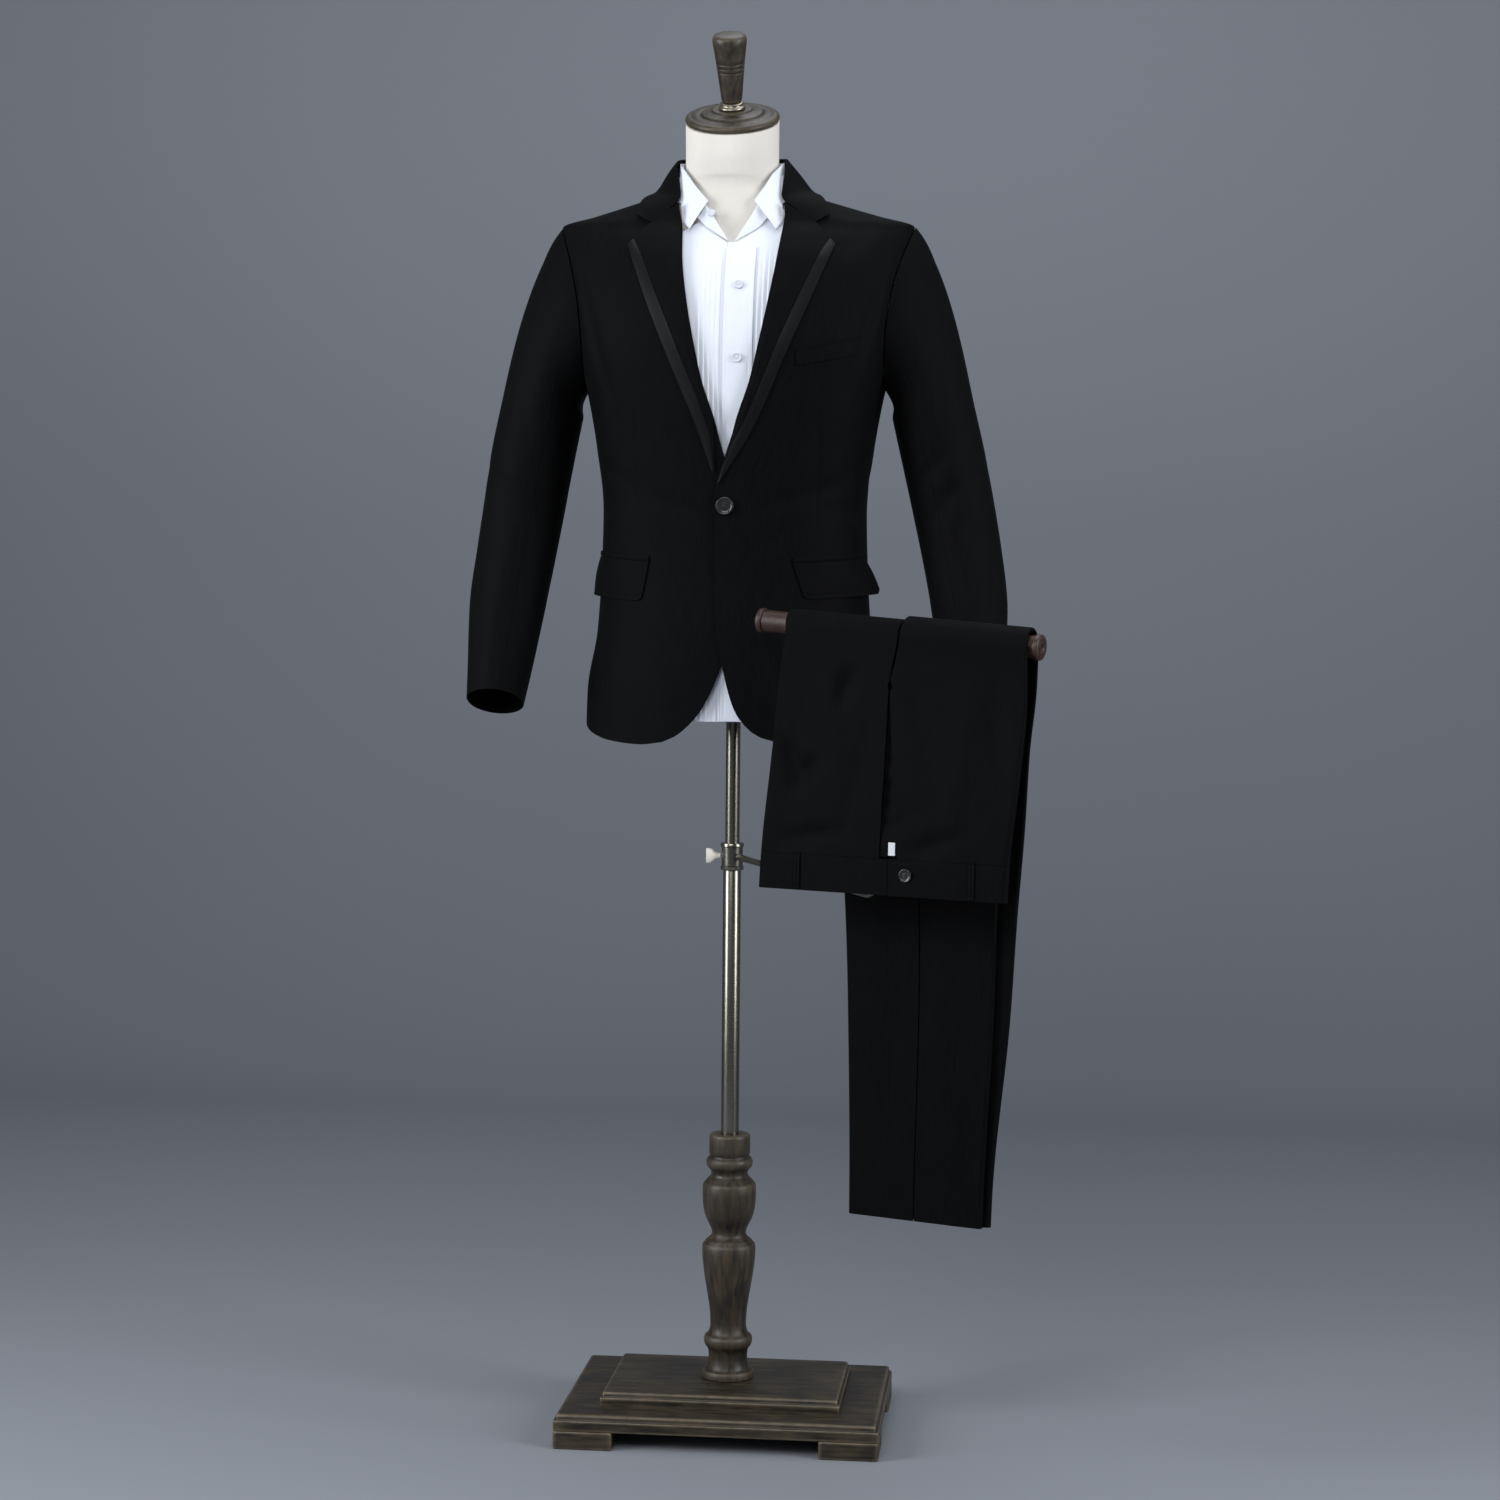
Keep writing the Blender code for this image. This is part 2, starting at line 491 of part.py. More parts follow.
def lapel(side, inner_break, lift, cloth, satin):
    """A lapel and the satin strip along its outer edge, on the front panel."""
    roll_rows = [row for row in FRONT_EDGE if 1.225 < row[2] < 1.52]
    roll = [(*inner_break,), *[(row[1] + 0.0012, row[2]) for row in roll_rows], GORGE_TOP]
    roll_table = [((p[1] - roll[0][1]) / (roll[-1][1] - roll[0][1]), *p) for p in roll]
    first = (inner_break[0] + 0.003, inner_break[1] - 0.001)
    edge = [first, *LAPEL_OUTER[1:]]
    edge_table = [((p[1] - edge[0][1]) / (edge[-1][1] - edge[0][1]), *p) for p in edge]

    def low(share):
        share = np.asarray(share, float)[..., None]
        ends = front_curve(roll_table)(0.0), front_curve(edge_table)(0.0)
        return (1 - share) * ends[0] + share * ends[1]

    def high(share):
        points = np.array([GORGE_TOP, LAPEL_NOTCH, LAPEL_OUTER[-1]])
        x = np.interp(share, (0.0, 0.55, 1.0), points[:, 0])
        height = np.interp(share, (0.0, 0.55, 1.0), points[:, 1])
        return np.stack([angle_at(x, height), height], -1)

    rows = np.array((0, 0.08, 0.17, 0.27, 0.37, 0.47, 0.56, 0.64, 0.71, 0.77, 0.82, 0.87, 0.91, 0.95, 1.0))
    start, end = front_curve(roll_table)(rows), front_curve(edge_table)(rows)
    width = np.linalg.norm(on_body(*start.T, 0.0) - on_body(*end.T, 0.0), axis=-1)
    trim = np.clip(LAPEL_TRIM_WIDTH / width, 0.0, 0.55)[:, None]
    main_u = np.array((0.0, 0.2, 0.4, 0.6, 0.8, 1.0)) * (1 - trim - 0.0004 / width[:, None])
    trim_u = 1 - trim * np.array((1.0, 0.0))
    for name, u, material in (("lapel", main_u, cloth), ("lapel_satin", trim_u, satin)):
        v = np.repeat(rows[:, None], u.shape[1], axis=1)
        places = patch(front_curve(roll_table), front_curve(edge_table), low, high, u, v)
        raised = JACKET_WALL + LAID + lift * overlap(places[..., 1])
        raised = raised + 0.0014 * smooth((places[..., 1] - 1.43) / 0.05)
        laid(f"{name}_{'left' if side > 0 else 'right'}", places, raised, JACKET_WALL, material, side)


def collar(cloth):
    """The collar fall, from one front corner round the back of the neck to the other, and its stand."""
    half = np.array((0.0, 0.07, 0.14, 0.22, 0.30, 0.37, 0.44, 0.52, 0.60, 0.68, 0.76, 0.84, 0.92, 1.0))
    share = np.concatenate([half, half[-2::-1]])
    mirrored = np.concatenate([np.ones(len(half)), -np.ones(len(half) - 1)])
    rows = through(COLLAR_FALL, share)
    across = np.linspace(0.0, 1.0, 5)
    angle = rows[:, None, 0] + (rows[:, None, 2] - rows[:, None, 0]) * across
    height = rows[:, None, 1] + (rows[:, None, 3] - rows[:, None, 1]) * across
    flip = mirrored[:, None]
    angle = np.where(flip > 0, angle, 360.0 - angle)
    raised = JACKET_WALL + LAID + 0.0029 + smooth(share / 0.3)[:, None] * 0.0026 * np.sin(np.pi * across) ** 0.7
    raised = raised + 0.0010 * smooth((share[:, None] - 0.45) / 0.2)
    outer, inner = on_body(angle, height, raised + JACKET_WALL), on_body(angle, height, raised)
    wall("collar", outer, inner, cloth)
    stand_half = np.array((0.46, 0.54, 0.62, 0.70, 0.78, 0.86, 0.93, 1.0))
    share = np.concatenate([stand_half, stand_half[-2::-1]])
    mirrored = np.concatenate([np.ones(len(stand_half)), -np.ones(len(stand_half) - 1)])
    rows = through(COLLAR_FALL, share)
    foot_angle = rows[:, 0]
    foot_height = BACK_NECK - (BACK_NECK - 1.546) * np.clip((180.0 - foot_angle) / 90.0, 0.0, 1.0) ** 2 + 0.0006
    across = np.array((0.0, 0.5, 1.0))
    angle = foot_angle[:, None] + (rows[:, None, 0] - foot_angle[:, None]) * across
    height = foot_height[:, None] + (rows[:, None, 1] - 0.0006 - foot_height[:, None]) * across
    angle = np.where(mirrored[:, None] > 0, angle, 360.0 - angle)
    wall("collar_stand", on_body(angle, height, 0.0018), on_body(angle, height, 0.0004), cloth)


def sleeve(side, cloth):
    """Upper and under sleeve: a ring on the armhole, led out over the shoulder and down the arm to the cuff."""
    turn = np.arange(16) * 22.5
    place = armhole(turn)
    start = on_body(place[:, 0], place[:, 1], 0.0)
    middle = start.mean(0)
    radial = start - middle
    radial[:, 0] = 0.0
    radial /= np.linalg.norm(radial, axis=1, keepdims=True)
    top = 0.5 + 0.5 * np.cos(np.radians(turn))[:, None]
    out = np.array((1.0, 0.0, 0.0))
    lead = through(CROWN_LEAD, top[:, 0])
    lead = np.stack([lead[:, 0], 0 * lead[:, 0], lead[:, 1]], -1)
    rings = np.array(SLEEVE_SECTIONS)
    if side > 0:
        rings[:, 1] += LEFT_SWING * smooth((SWING_TOP - rings[:, 0]) / SWING_DROP)
    centres = np.stack([rings[:, 1], rings[:, 2], rings[:, 0]], -1)
    along = np.gradient(centres, axis=0)
    along /= np.linalg.norm(along, axis=1, keepdims=True)
    wide = np.cross(np.array((0.0, 1.0, 0.0)), along)
    wide /= np.linalg.norm(wide, axis=1, keepdims=True)
    wide *= np.sign(wide[:, :1])
    wide[:, 2] *= np.linspace(1.0, 0.0, len(rings))
    wide /= np.linalg.norm(wide, axis=1, keepdims=True)
    deep = np.cross(along, wide)
    deep *= np.sign(-deep[:, 1:2])
    c, s = np.cos(np.radians(turn))[:, None], np.sin(np.radians(turn))[:, None]

    def below(inset):
        return np.stack([
            centres[i] + (rings[i, 3] - inset) * c * wide[i] + (rings[i, 4] - inset) * s * deep[i]
            for i in range(len(rings))
        ])

    def skin(half_wall, inset):
        lower = below(inset)
        first = start + half_wall * radial + (JACKET_WALL + 0.0016) * out
        tail = 0.9 * np.linalg.norm(lower[0] - first, axis=1, keepdims=True) * along[0]
        rows = []
        for t in SLEEVE_CROWN_ROWS:
            h0, h1 = (1 + 2 * t) * (1 - t) ** 2, t * t * (3 - 2 * t)
            rows.append(h0 * first + h1 * lower[0] + t * (1 - t) ** 2 * lead - t * t * (1 - t) * tail)
        return np.concatenate([np.stack(rows), lower])

    outer, inner = skin(JACKET_WALL / 2, 0.0), skin(-JACKET_WALL / 2, JACKET_WALL)
    first, last = UNDER_SLEEVE
    under = np.arange(first, last + 1)
    upper = np.arange(last, first + 17) % 16
    label = "left" if side > 0 else "right"
    for name, pick in (("under_sleeve", under), ("upper_sleeve", upper)):
        shells = []
        for skin_points in (outer, inner):
            part = skin_points[:, pick].copy()
            near, far = part[:, 1] - part[:, 0], part[:, -2] - part[:, -1]
            part[:, 0] += SEAM / 2 * near / np.linalg.norm(near, axis=1, keepdims=True)
            part[:, -1] += SEAM / 2 * far / np.linalg.norm(far, axis=1, keepdims=True)
            part[..., 0] *= side
            shells.append(part)
        wall(f"{name}_{label}", shells[0], shells[1], cloth)


def quad_places(low, top, columns, rows):
    """A grid between two straight edges given by (angle, height) corner pairs."""
    u, v = grid(np.linspace(0, 1, columns), np.linspace(0, 1, rows))
    u, v = u[..., None], v[..., None]
    low, top = np.array(low, float), np.array(top, float)
    return (1 - v) * ((1 - u) * low[0] + u * low[1]) + v * ((1 - u) * top[0] + u * top[1])


def pockets(cloth):
    """Two flaps with a jet above each, and the breast welt on the wearer's left."""
    raised = JACKET_WALL + LAID
    across, up = grid(np.linspace(0, 1, 12), np.linspace(0, 1, 3))
    for side, label, flare in ((1, "left", FLAP_FLARE[0]), (-1, "right", FLAP_FLARE[1])):
        low = raised + flare * (1 - up) * smooth((across - 0.35) / 0.65)
        laid(f"pocket_flap_{label}", quad_places(FLAP_LOW, FLAP_TOP, 12, 3), low, JACKET_WALL, cloth, side)
        jet_low = [(a, h + 0.0006) for a, h in FLAP_TOP]
        jet_top = [(a, h + 0.0006 + JET_HEIGHT) for a, h in FLAP_TOP]
        laid(f"pocket_jet_{label}", quad_places(jet_low, jet_top, 12, 2), raised, JACKET_WALL, cloth, side)
    corners = [[(float(angle_at(np.array(x), np.array(h))), h) for x, h in row] for row in (WELT_LOW, WELT_TOP)]
    laid("breast_welt", quad_places(*corners, 10, 2), raised, JACKET_WALL, cloth)


def disc(name, centre, axis, profile, sides, material):
    """A turned piece: a profile of (radius, distance) carried round an axis from a centre."""
    axis = np.array(axis, float) / np.linalg.norm(axis)
    helper = np.array((1.0, 0.0, 0.0)) if abs(axis[0]) < 0.9 else np.array((0.0, 1.0, 0.0))
    right = np.cross(axis, helper)
    right /= np.linalg.norm(right)
    ahead = np.cross(axis, right)
    turn = np.arange(sides) * 2 * math.pi / sides
    round_way = np.cos(turn)[:, None] * right + np.sin(turn)[:, None] * ahead
    rings = [centre + d * axis + r * round_way for r, d in profile if r > 0]
    poles = [centre + profile[0][1] * axis, centre + profile[-1][1] * axis]
    points = np.concatenate([np.concatenate(rings), poles])
    faces = []
    for i in range(len(rings) - 1):
        for j in range(sides):
            a, b = i * sides + j, i * sides + (j + 1) % sides
            faces.append([a, b, b + sides, a + sides])
    low, high, last = len(points) - 2, len(points) - 1, (len(rings) - 1) * sides
    for j in range(sides):
        k = (j + 1) % sides
        faces.append([low, k, j])
        faces.append([high, last + j, last + k])
    return solid(name, points, faces, material)


def button(name, angle, height, low, radius, thickness, material):
    """A round button lying on the cloth at an angle and height of the body."""
    base, tip = on_body(angle, height, low), on_body(angle, height, low + 0.001)
    profile = ((0.0, 0.0), (radius * 0.93, 0.0), (radius, thickness * 0.4), (radius * 0.9, thickness),
               (radius * 0.72, thickness * 0.8), (0.0, thickness * 0.75))
    return disc(name, base, tip - base, profile, 12, material)


SHIRT_ROWS = np.array((0.895, 0.96, 1.06, 1.15, 1.22, 1.29, 1.34, 1.38, 1.41, 1.43, 1.446, 1.46, 1.474))


def shirt_front(name, side, opening, material):
    """A shirt front with its tucks raised on the outside, from the centre to the side seam."""
    first = PLACKET_WIDTH / 2 + 0.004 + SHIRT_OPENING * side
    distances, heights = [opening], [0.0]
    for i in range(TUCKS):
        distances += [first + i * TUCK_PITCH, first + i * TUCK_PITCH + 0.0012]
        heights += [0.0, 1.0]
    distances.append(first + TUCKS * TUCK_PITCH)
    heights.append(0.0)
    reach = np.array(distances)
    top = through(SHIRT_NECKLINE, np.clip((reach - 0.006) / 0.0675, 0.0, 1.0))[..., 1] - SEAM
    share = np.clip((SHIRT_ROWS[:, None] - 1.29) / (1.474 - 1.29), 0.0, 1.0)
    height = np.where(share > 0, 1.29 + (top - 1.29) * share, SHIRT_ROWS[:, None])
    angle = angle_at(reach + 0 * height, height)
    end = np.stack([89.95 + 0 * share, np.minimum(SHIRT_ROWS[:, None], 1.29 + 0.004 * share)], -1)
    last = np.stack([angle[:, -1:], height[:, -1:]], -1)
    rest = last + (end - last) * np.array((0.09, 0.2, 0.36, 0.6, 1.0))[:, None]
    angle, height = np.hstack([angle, rest[..., 0]]), np.hstack([height, rest[..., 1]])
    depth = layer_depth(height, 0)
    bump = TUCK_HEIGHT * np.concatenate([heights, np.zeros(5)]) * (1 - smooth((height - 1.43) / 0.05))
    outer = on_body(side * angle, height, bump - depth)
    inner = on_body(side * angle, height, -depth - SHIRT_WALL)
    return wall(name, outer, inner, material)


def shirt(cloth, pearl):
    """Shirt body, placket, collar stand, collar leaves and buttons."""
    shirt_front("shirt_front_left", 1, -0.0045, cloth)
    shirt_front("shirt_front_right", -1, 0.0049, cloth)
    low_rows, top_shares = np.array((SHIRT_HEM, 1.0, 1.1, 1.2)), (0, 0.3, 0.52, 0.68, 0.8, 0.88, 0.95, 1.0)
    u = np.linspace(0, 1, 13)[None, :]
    top = 1.288 + (BACK_NECK - 0.004 - 1.288) * np.sin(np.pi * u) ** 0.6
    height = np.vstack([low_rows[:, None] + 0 * u, 1.285 + (top - 1.285) * np.array(top_shares)[:, None]])
    angle = 90.05 + 179.9 * u + 0 * height
    depth = layer_depth(height, 0)
    wall("shirt_back", on_body(angle, height, -depth), on_body(angle, height, -depth - SHIRT_WALL), cloth)
    u, height = grid((-0.5, 0.0, 0.5), SHIRT_ROWS)
    angle = angle_at(SHIRT_OPENING + PLACKET_WIDTH * u, height)
    height = np.minimum(height, 1.471)
    low = LAID + SEAM - layer_depth(height, 0)
    wall("shirt_placket", on_body(angle, height, low + 0.001), on_body(angle, height, low), cloth)
    for name, table, low_out, high_out, half in (
        ("shirt_stand", SHIRT_STAND, -0.0026, -0.0043, (0, 0.12, 0.25, 0.34, *COLLAR_SHARES)),
        ("shirt_leaf", SHIRT_LEAF, -0.0010, -0.0012, (0, 0.11, 0.22, 0.32, *COLLAR_SHARES)),
    ):
        share = np.array(half, float)
        across = np.linspace(0.0, 1.0, 5)
        rows = through(table, share)
        angle = rows[:, None, 0] + (rows[:, None, 2] - rows[:, None, 0]) * across
        height = rows[:, None, 1] + (rows[:, None, 3] - rows[:, None, 1]) * across
        out = low_out + (high_out - low_out) * across + 0 * angle
        if name == "shirt_leaf":
            out = out + 0.0018 * across * (1 - smooth((share[:, None] - 0.42) / 0.16))
        else:
            out = out - 0.0006 * smooth((share[:, None] - 0.38) / 0.1) * (1 - across)
        if name == "shirt_stand":
            angle = np.concatenate([angle, 360 - angle[-2::-1]])
            height, out = np.concatenate([height, height[-2::-1]]), np.concatenate([out, out[-2::-1]])
            wall(name, on_body(angle, height, out), on_body(angle, height, out - 0.0008), cloth)
            continue
        for side, label in ((1, "left"), (-1, "right")):
            turned = side * (angle - 0.08 * (share[:, None] == 1.0))
            wall(f"{name}_{label}", on_body(turned, height, out), on_body(turned, height, out - 0.0008), cloth)
    for i, height in enumerate(SHIRT_BUTTON_HEIGHTS):
        angle = float(angle_at(np.array(SHIRT_OPENING), np.array(height)))
        low = -float(layer_depth(np.array(height), 0)) + LAID + 3 * SEAM + 0.001
        button(f"shirt_button_{i + 1}", angle, height, low, *SHIRT_BUTTON, pearl)


def form(linen):
    """The linen torso and neck, one closed body; its neck is cut on a slope for the cap."""
    heights = np.array((FORM_BOTTOM, 1.03, 1.13, 1.22, 1.30, 1.37, 1.42, 1.455, 1.48, 1.497,
                        1.508, 1.52, 1.533, 1.546, 1.560, 1.585, NECK_TOP))
    angle, height = grid(np.arange(24) * 15.0, heights)
    points = on_body(angle, height, -layer_depth(height, 1))
    slope = smooth((height - 1.55) / (NECK_TOP - 1.55))
    points[..., 2] += slope * math.tan(NECK_TILT) * points[..., 1]
    points[0, :, 2] = FORM_BOTTOM
    rows, columns = height.shape
    low, high = points[0].mean(0), points[-1].mean(0)
    faces = []
    for r in range(rows - 1):
        for c in range(columns):
            a, b = r * columns + c, r * columns + (c + 1) % columns
            faces.append([a, b, b + columns, a + columns])
    count = rows * columns
    for c in range(columns):
        d = (c + 1) % columns
        faces.append([count, d, c])
        faces.append([count + 1, count - columns + c, count - columns + d])
    solid("dress_form", np.concatenate([points.reshape(-1, 3), [low, high]]), faces, linen)
    return high


def block(name, rows, middle, material):
    """A rectangular piece through rows of (width, depth, height)."""
    points = []
    for x, y, height in rows:
        corners = ((-0.5, -0.5), (0.5, -0.5), (0.5, 0.5), (-0.5, 0.5))
        points += [(middle[0] + i * x, middle[1] + j * y, height) for i, j in corners]
    faces = [[3, 2, 1, 0], [len(points) - 4 + i for i in range(4)]]
    for r in range(len(rows) - 1):
        for c in range(4):
            a, b = r * 4 + c, r * 4 + (c + 1) % 4
            faces.append([a, b, b + 4, a + 4])
    return solid(name, points, faces, material)


def rail_frame(s, q, h):
    """World point of a place in the rail's frame; h falls with s along the sloping dowel where asked."""
    along = np.array((math.cos(RAIL_TURN), -math.sin(RAIL_TURN), 0.0))
    ahead = np.array((-math.sin(RAIL_TURN), -math.cos(RAIL_TURN), 0.0))
    s, q, h = np.broadcast_arrays(np.asarray(s, float), np.asarray(q, float), np.asarray(h, float))
    return np.array(RAIL_MIDDLE) + s[..., None] * along + q[..., None] * ahead + h[..., None] * np.array((0, 0, 1.0))


def rod(name, path, radius, sides, material):
    """A round rod along a path of points."""
    path = np.array(path)
    along = np.gradient(path, axis=0)
    along /= np.linalg.norm(along, axis=1, keepdims=True)
    across = np.cross(along[0], (0.0, 0.0, 1.0))
    rings = []
    for point, direction in zip(path, along):
        across = across - direction * (across @ direction)
        across /= np.linalg.norm(across)
        other = np.cross(direction, across)
        turn = np.arange(sides) * 2 * math.pi / sides
        rings.append(point + radius * (np.cos(turn)[:, None] * across + np.sin(turn)[:, None] * other))
    count = len(path) * sides
    points = np.concatenate([np.concatenate(rings), [path[0], path[-1]]])
    faces = []
    for i in range(len(path) - 1):
        for j in range(sides):
            a, b = i * sides + j, i * sides + (j + 1) % sides
            faces.append([a, b, b + sides, a + sides])
    for j in range(sides):
        k = (j + 1) % sides
        faces.append([count, k, j])
        faces.append([count + 1, count - sides + j, count - sides + k])
    return solid(name, points, faces, material)


def stand(wood, steel, dowel_wood, pale):
    """Base, column, pole, clamp and the trouser rail."""
    for i, (x, y) in enumerate(((-1, -1), (1, -1), (1, 1), (-1, 1))):
        middle = (x * (BASE_SIZE[0] - FOOT_LENGTH) / 2, y * (BASE_SIZE[1] - FOOT_LENGTH) / 2)
        rows = ((FOOT_LENGTH, FOOT_LENGTH, 0.0), (FOOT_LENGTH, FOOT_LENGTH, BASE_FOOT_HEIGHT))
        block(f"base_foot_{i + 1}", rows, middle, wood)
    block("base_plates", BASE_PLATES, (0.0, 0.0), wood)
    up = (0.0, 0.0, 1.0)
    lift = BASE_PLATES[-1][2] + SEAM - COLUMN_PROFILE[0][1]
    column = [(r, z + lift) for r, z in COLUMN_PROFILE]
    disc("column", np.zeros(3), up, column, 12, wood)
    joint = CLAMP_HEIGHT + CLAMP_LENGTH / 2 - 0.006
    low, high = column[-1][1] + SEAM, FORM_BOTTOM - SEAM
    pole = ((0, low), (POLE_RADIUS, low), (POLE_RADIUS, joint), (INNER_POLE_RADIUS, joint),
            (INNER_POLE_RADIUS, high), (0, high))
    disc("pole", np.zeros(3), up, pole, 16, steel)
    turn = np.arange(16) * 2 * math.pi / 16
    ends = (CLAMP_HEIGHT - CLAMP_LENGTH / 2, CLAMP_HEIGHT + CLAMP_LENGTH / 2)
    rings = [np.stack([[r * np.cos(turn), r * np.sin(turn), 0 * turn + z] for z in ends]).transpose(0, 2, 1)
             for r in (CLAMP_RADIUS, POLE_RADIUS + SEAM)]
    wall("clamp", rings[0], rings[1], steel, tube=True)
    screw = ((0, 0), (0.0035, 0), (0.0035, 0.006), (0.0060, 0.009), (0.0050, 0.017), (0, 0.018))
    knob = disc("clamp_screw", np.array((-CLAMP_RADIUS - SEAM, 0.0, CLAMP_HEIGHT)), (-1.0, 0.0, 0.0), screw, 10, pale)
    for vertex in knob.data.vertices:
        beyond = max(0.0, -vertex.co.x - CLAMP_RADIUS - 0.006)
        vertex.co.z = CLAMP_HEIGHT + (vertex.co.z - CLAMP_HEIGHT) * (1 + 110 * beyond)

    elbow = rail_frame(*ELBOW)
    top = rail_frame(0.0, 0.0, -DOWEL_RADIUS - 0.0004)
    outward = elbow - np.array((0.0, 0.0, CLAMP_HEIGHT))
    outward /= np.linalg.norm(outward)
    level = np.array((outward[0], outward[1], 0.0)) / np.hypot(outward[0], outward[1])
    start = np.array((0.0, 0.0, CLAMP_HEIGHT)) + level * (CLAMP_RADIUS + 0.0006)
    rise = (top - elbow) / np.linalg.norm(top - elbow)
    away = (start - elbow) / np.linalg.norm(start - elbow)
    t = np.linspace(0, 1, 6)[:, None]
    bend = (1 - t) ** 2 * (elbow + ROD_BEND * away) + 2 * t * (1 - t) * elbow + t**2 * (elbow + ROD_BEND * rise)
    path = [start, (start + elbow) / 2, *bend, (elbow + top) / 2, top]
    rod("rail_rod", path, ROD_RADIUS, 8, steel)
    ends = [rail_frame(s, 0.0, -s * RAIL_SLOPE) for s in (-DOWEL_HALF_LENGTH, DOWEL_HALF_LENGTH)]
    axis = (ends[1] - ends[0]) / np.linalg.norm(ends[1] - ends[0])
    length = np.linalg.norm(ends[1] - ends[0])
    bar = ((0, 0), (DOWEL_RADIUS, 0), (DOWEL_RADIUS, length), (0, length))
    disc("rail_dowel", ends[0], axis, bar, 20, dowel_wood)
    radius, depth = DOWEL_CAP
    cap = ((0, SEAM), (radius * 0.93, SEAM), (radius, 0.0015), (radius, depth - 0.002), (radius * 0.9, depth),
           (radius * 0.35, depth), (radius * 0.3, depth - 0.0015), (0, depth - 0.0015))
    disc("rail_cap_left", ends[0], -axis, cap, 12, dowel_wood)
    disc("rail_cap_right", ends[1], axis, cap, 12, dowel_wood)


def neck_cap(middle, wood):
    """The turned cap on the sloping neck and the finial on it."""
    axis = np.array((0.0, -math.sin(NECK_TILT), math.cos(NECK_TILT)))
    place = middle + SEAM * axis
    disc("neck_cap", place, axis, CAP_PROFILE, 16, wood)
    place = place + (CAP_PROFILE[-1][1] + SEAM) * axis
    disc("finial", place, axis, FINIAL_PROFILE, 10, wood)


FOLD_RADIUS = DOWEL_RADIUS + 0.0007
HALF_TURN = math.pi * FOLD_RADIUS


def fold_point(length, off):
    """q and h of the trousers' fold at a length from the waist edge, moved off its inner face."""
    length, off = np.broadcast_arrays(np.asarray(length, float), np.asarray(off, float))
    front_drop = FRONT_DROP - length
    back_drop = length - FRONT_DROP - HALF_TURN
    arc = np.clip((length - FRONT_DROP) / FOLD_RADIUS, 0.0, math.pi)
    front_q = through(FRONT_HANG, np.clip(front_drop, 0.0, 0.31))[..., 0]
    back_q = through(BACK_HANG, np.clip(back_drop, 0.0, 0.70))[..., 0]
    q = np.where(front_drop > 0, front_q + off, np.where(back_drop > 0, -back_q - off, (FOLD_RADIUS + off) * np.cos(arc)))
    h = np.where(front_drop > 0, -front_drop, np.where(back_drop > 0, -back_drop, (FOLD_RADIUS + off) * np.sin(arc)))
    return q, h


def on_fold(length, s, off):
    """World point on the fold; the fold line slopes with the dowel, and both ends hang level."""
    q, h = fold_point(length, off)
    drop = np.maximum(FRONT_DROP - length, length - FRONT_DROP - HALF_TURN)
    slope = 1 - smooth((drop - 0.02) / 0.24)
    return rail_frame(s, q, h - RAIL_SLOPE * s * slope)


def tube_point(way, left, right, thick, closed_left, closed_right, inset):
    """s and offset on a flat tube: way 0-1 outer face left to right, 1-2 right end, 2-3 inner face, 3-4 left end."""
    way = np.mod(way, 4.0)
    half = thick / 2
    low = left + closed_left * half
    high = right - closed_right * half
    shrunk = half - inset
    right_turn, left_turn = (way - 1) * math.pi, (way - 3) * math.pi
    faces = [way <= 1, way <= 2, way <= 3]
    bulge = closed_right * shrunk * np.sin(right_turn)
    s = np.select(
        faces,
        [low + (high - low) * way, high + bulge, high + (low - high) * (way - 2)],
        low - closed_left * shrunk * np.sin(left_turn),
    )
    off = np.select(
        faces,
        [half + shrunk, half + shrunk * np.cos(right_turn), half - shrunk],
        half - shrunk * np.cos(left_turn),
    )
    return s, off


def leg_panel(name, table, front, mirrored, hem, material):
    """A front or back trouser panel of one leg, from the waistband seam to the hem."""
    lengths = np.array([*LEG_ROWS, hem])
    left, right, thick, base, turn, closing = (c[:, None] for c in through(table, lengths).T)
    # Outseam and inner seam places round the tube; at the waist the tube is open on the centre side.
    seam_out = 3.5 - turn
    seam_in = 5.0 + 0.5 * closing - turn if front else 2.0 - 0.5 * closing - turn
    share = np.linspace(0, 1, 9)
    way = seam_out + (seam_in - seam_out) * share
    gap = np.sign(seam_in - seam_out) * np.where(np.mod(way, 2.0) > 1, 0.00019 / thick, 0.0040)
    way = way + gap * (share == 0) - gap * (share == 1)
    if mirrored:
        left, right = -right, -left
    shells = []
    for inset in (0.0, TROUSER_WALL):
        s, off = tube_point(way, left, right, thick, 1.0, closing, inset)
        s = -s if mirrored else s
        shells.append(on_fold(lengths[:, None] + 0 * s, s, base + off))
    return wall(name, shells[0], shells[1], material)


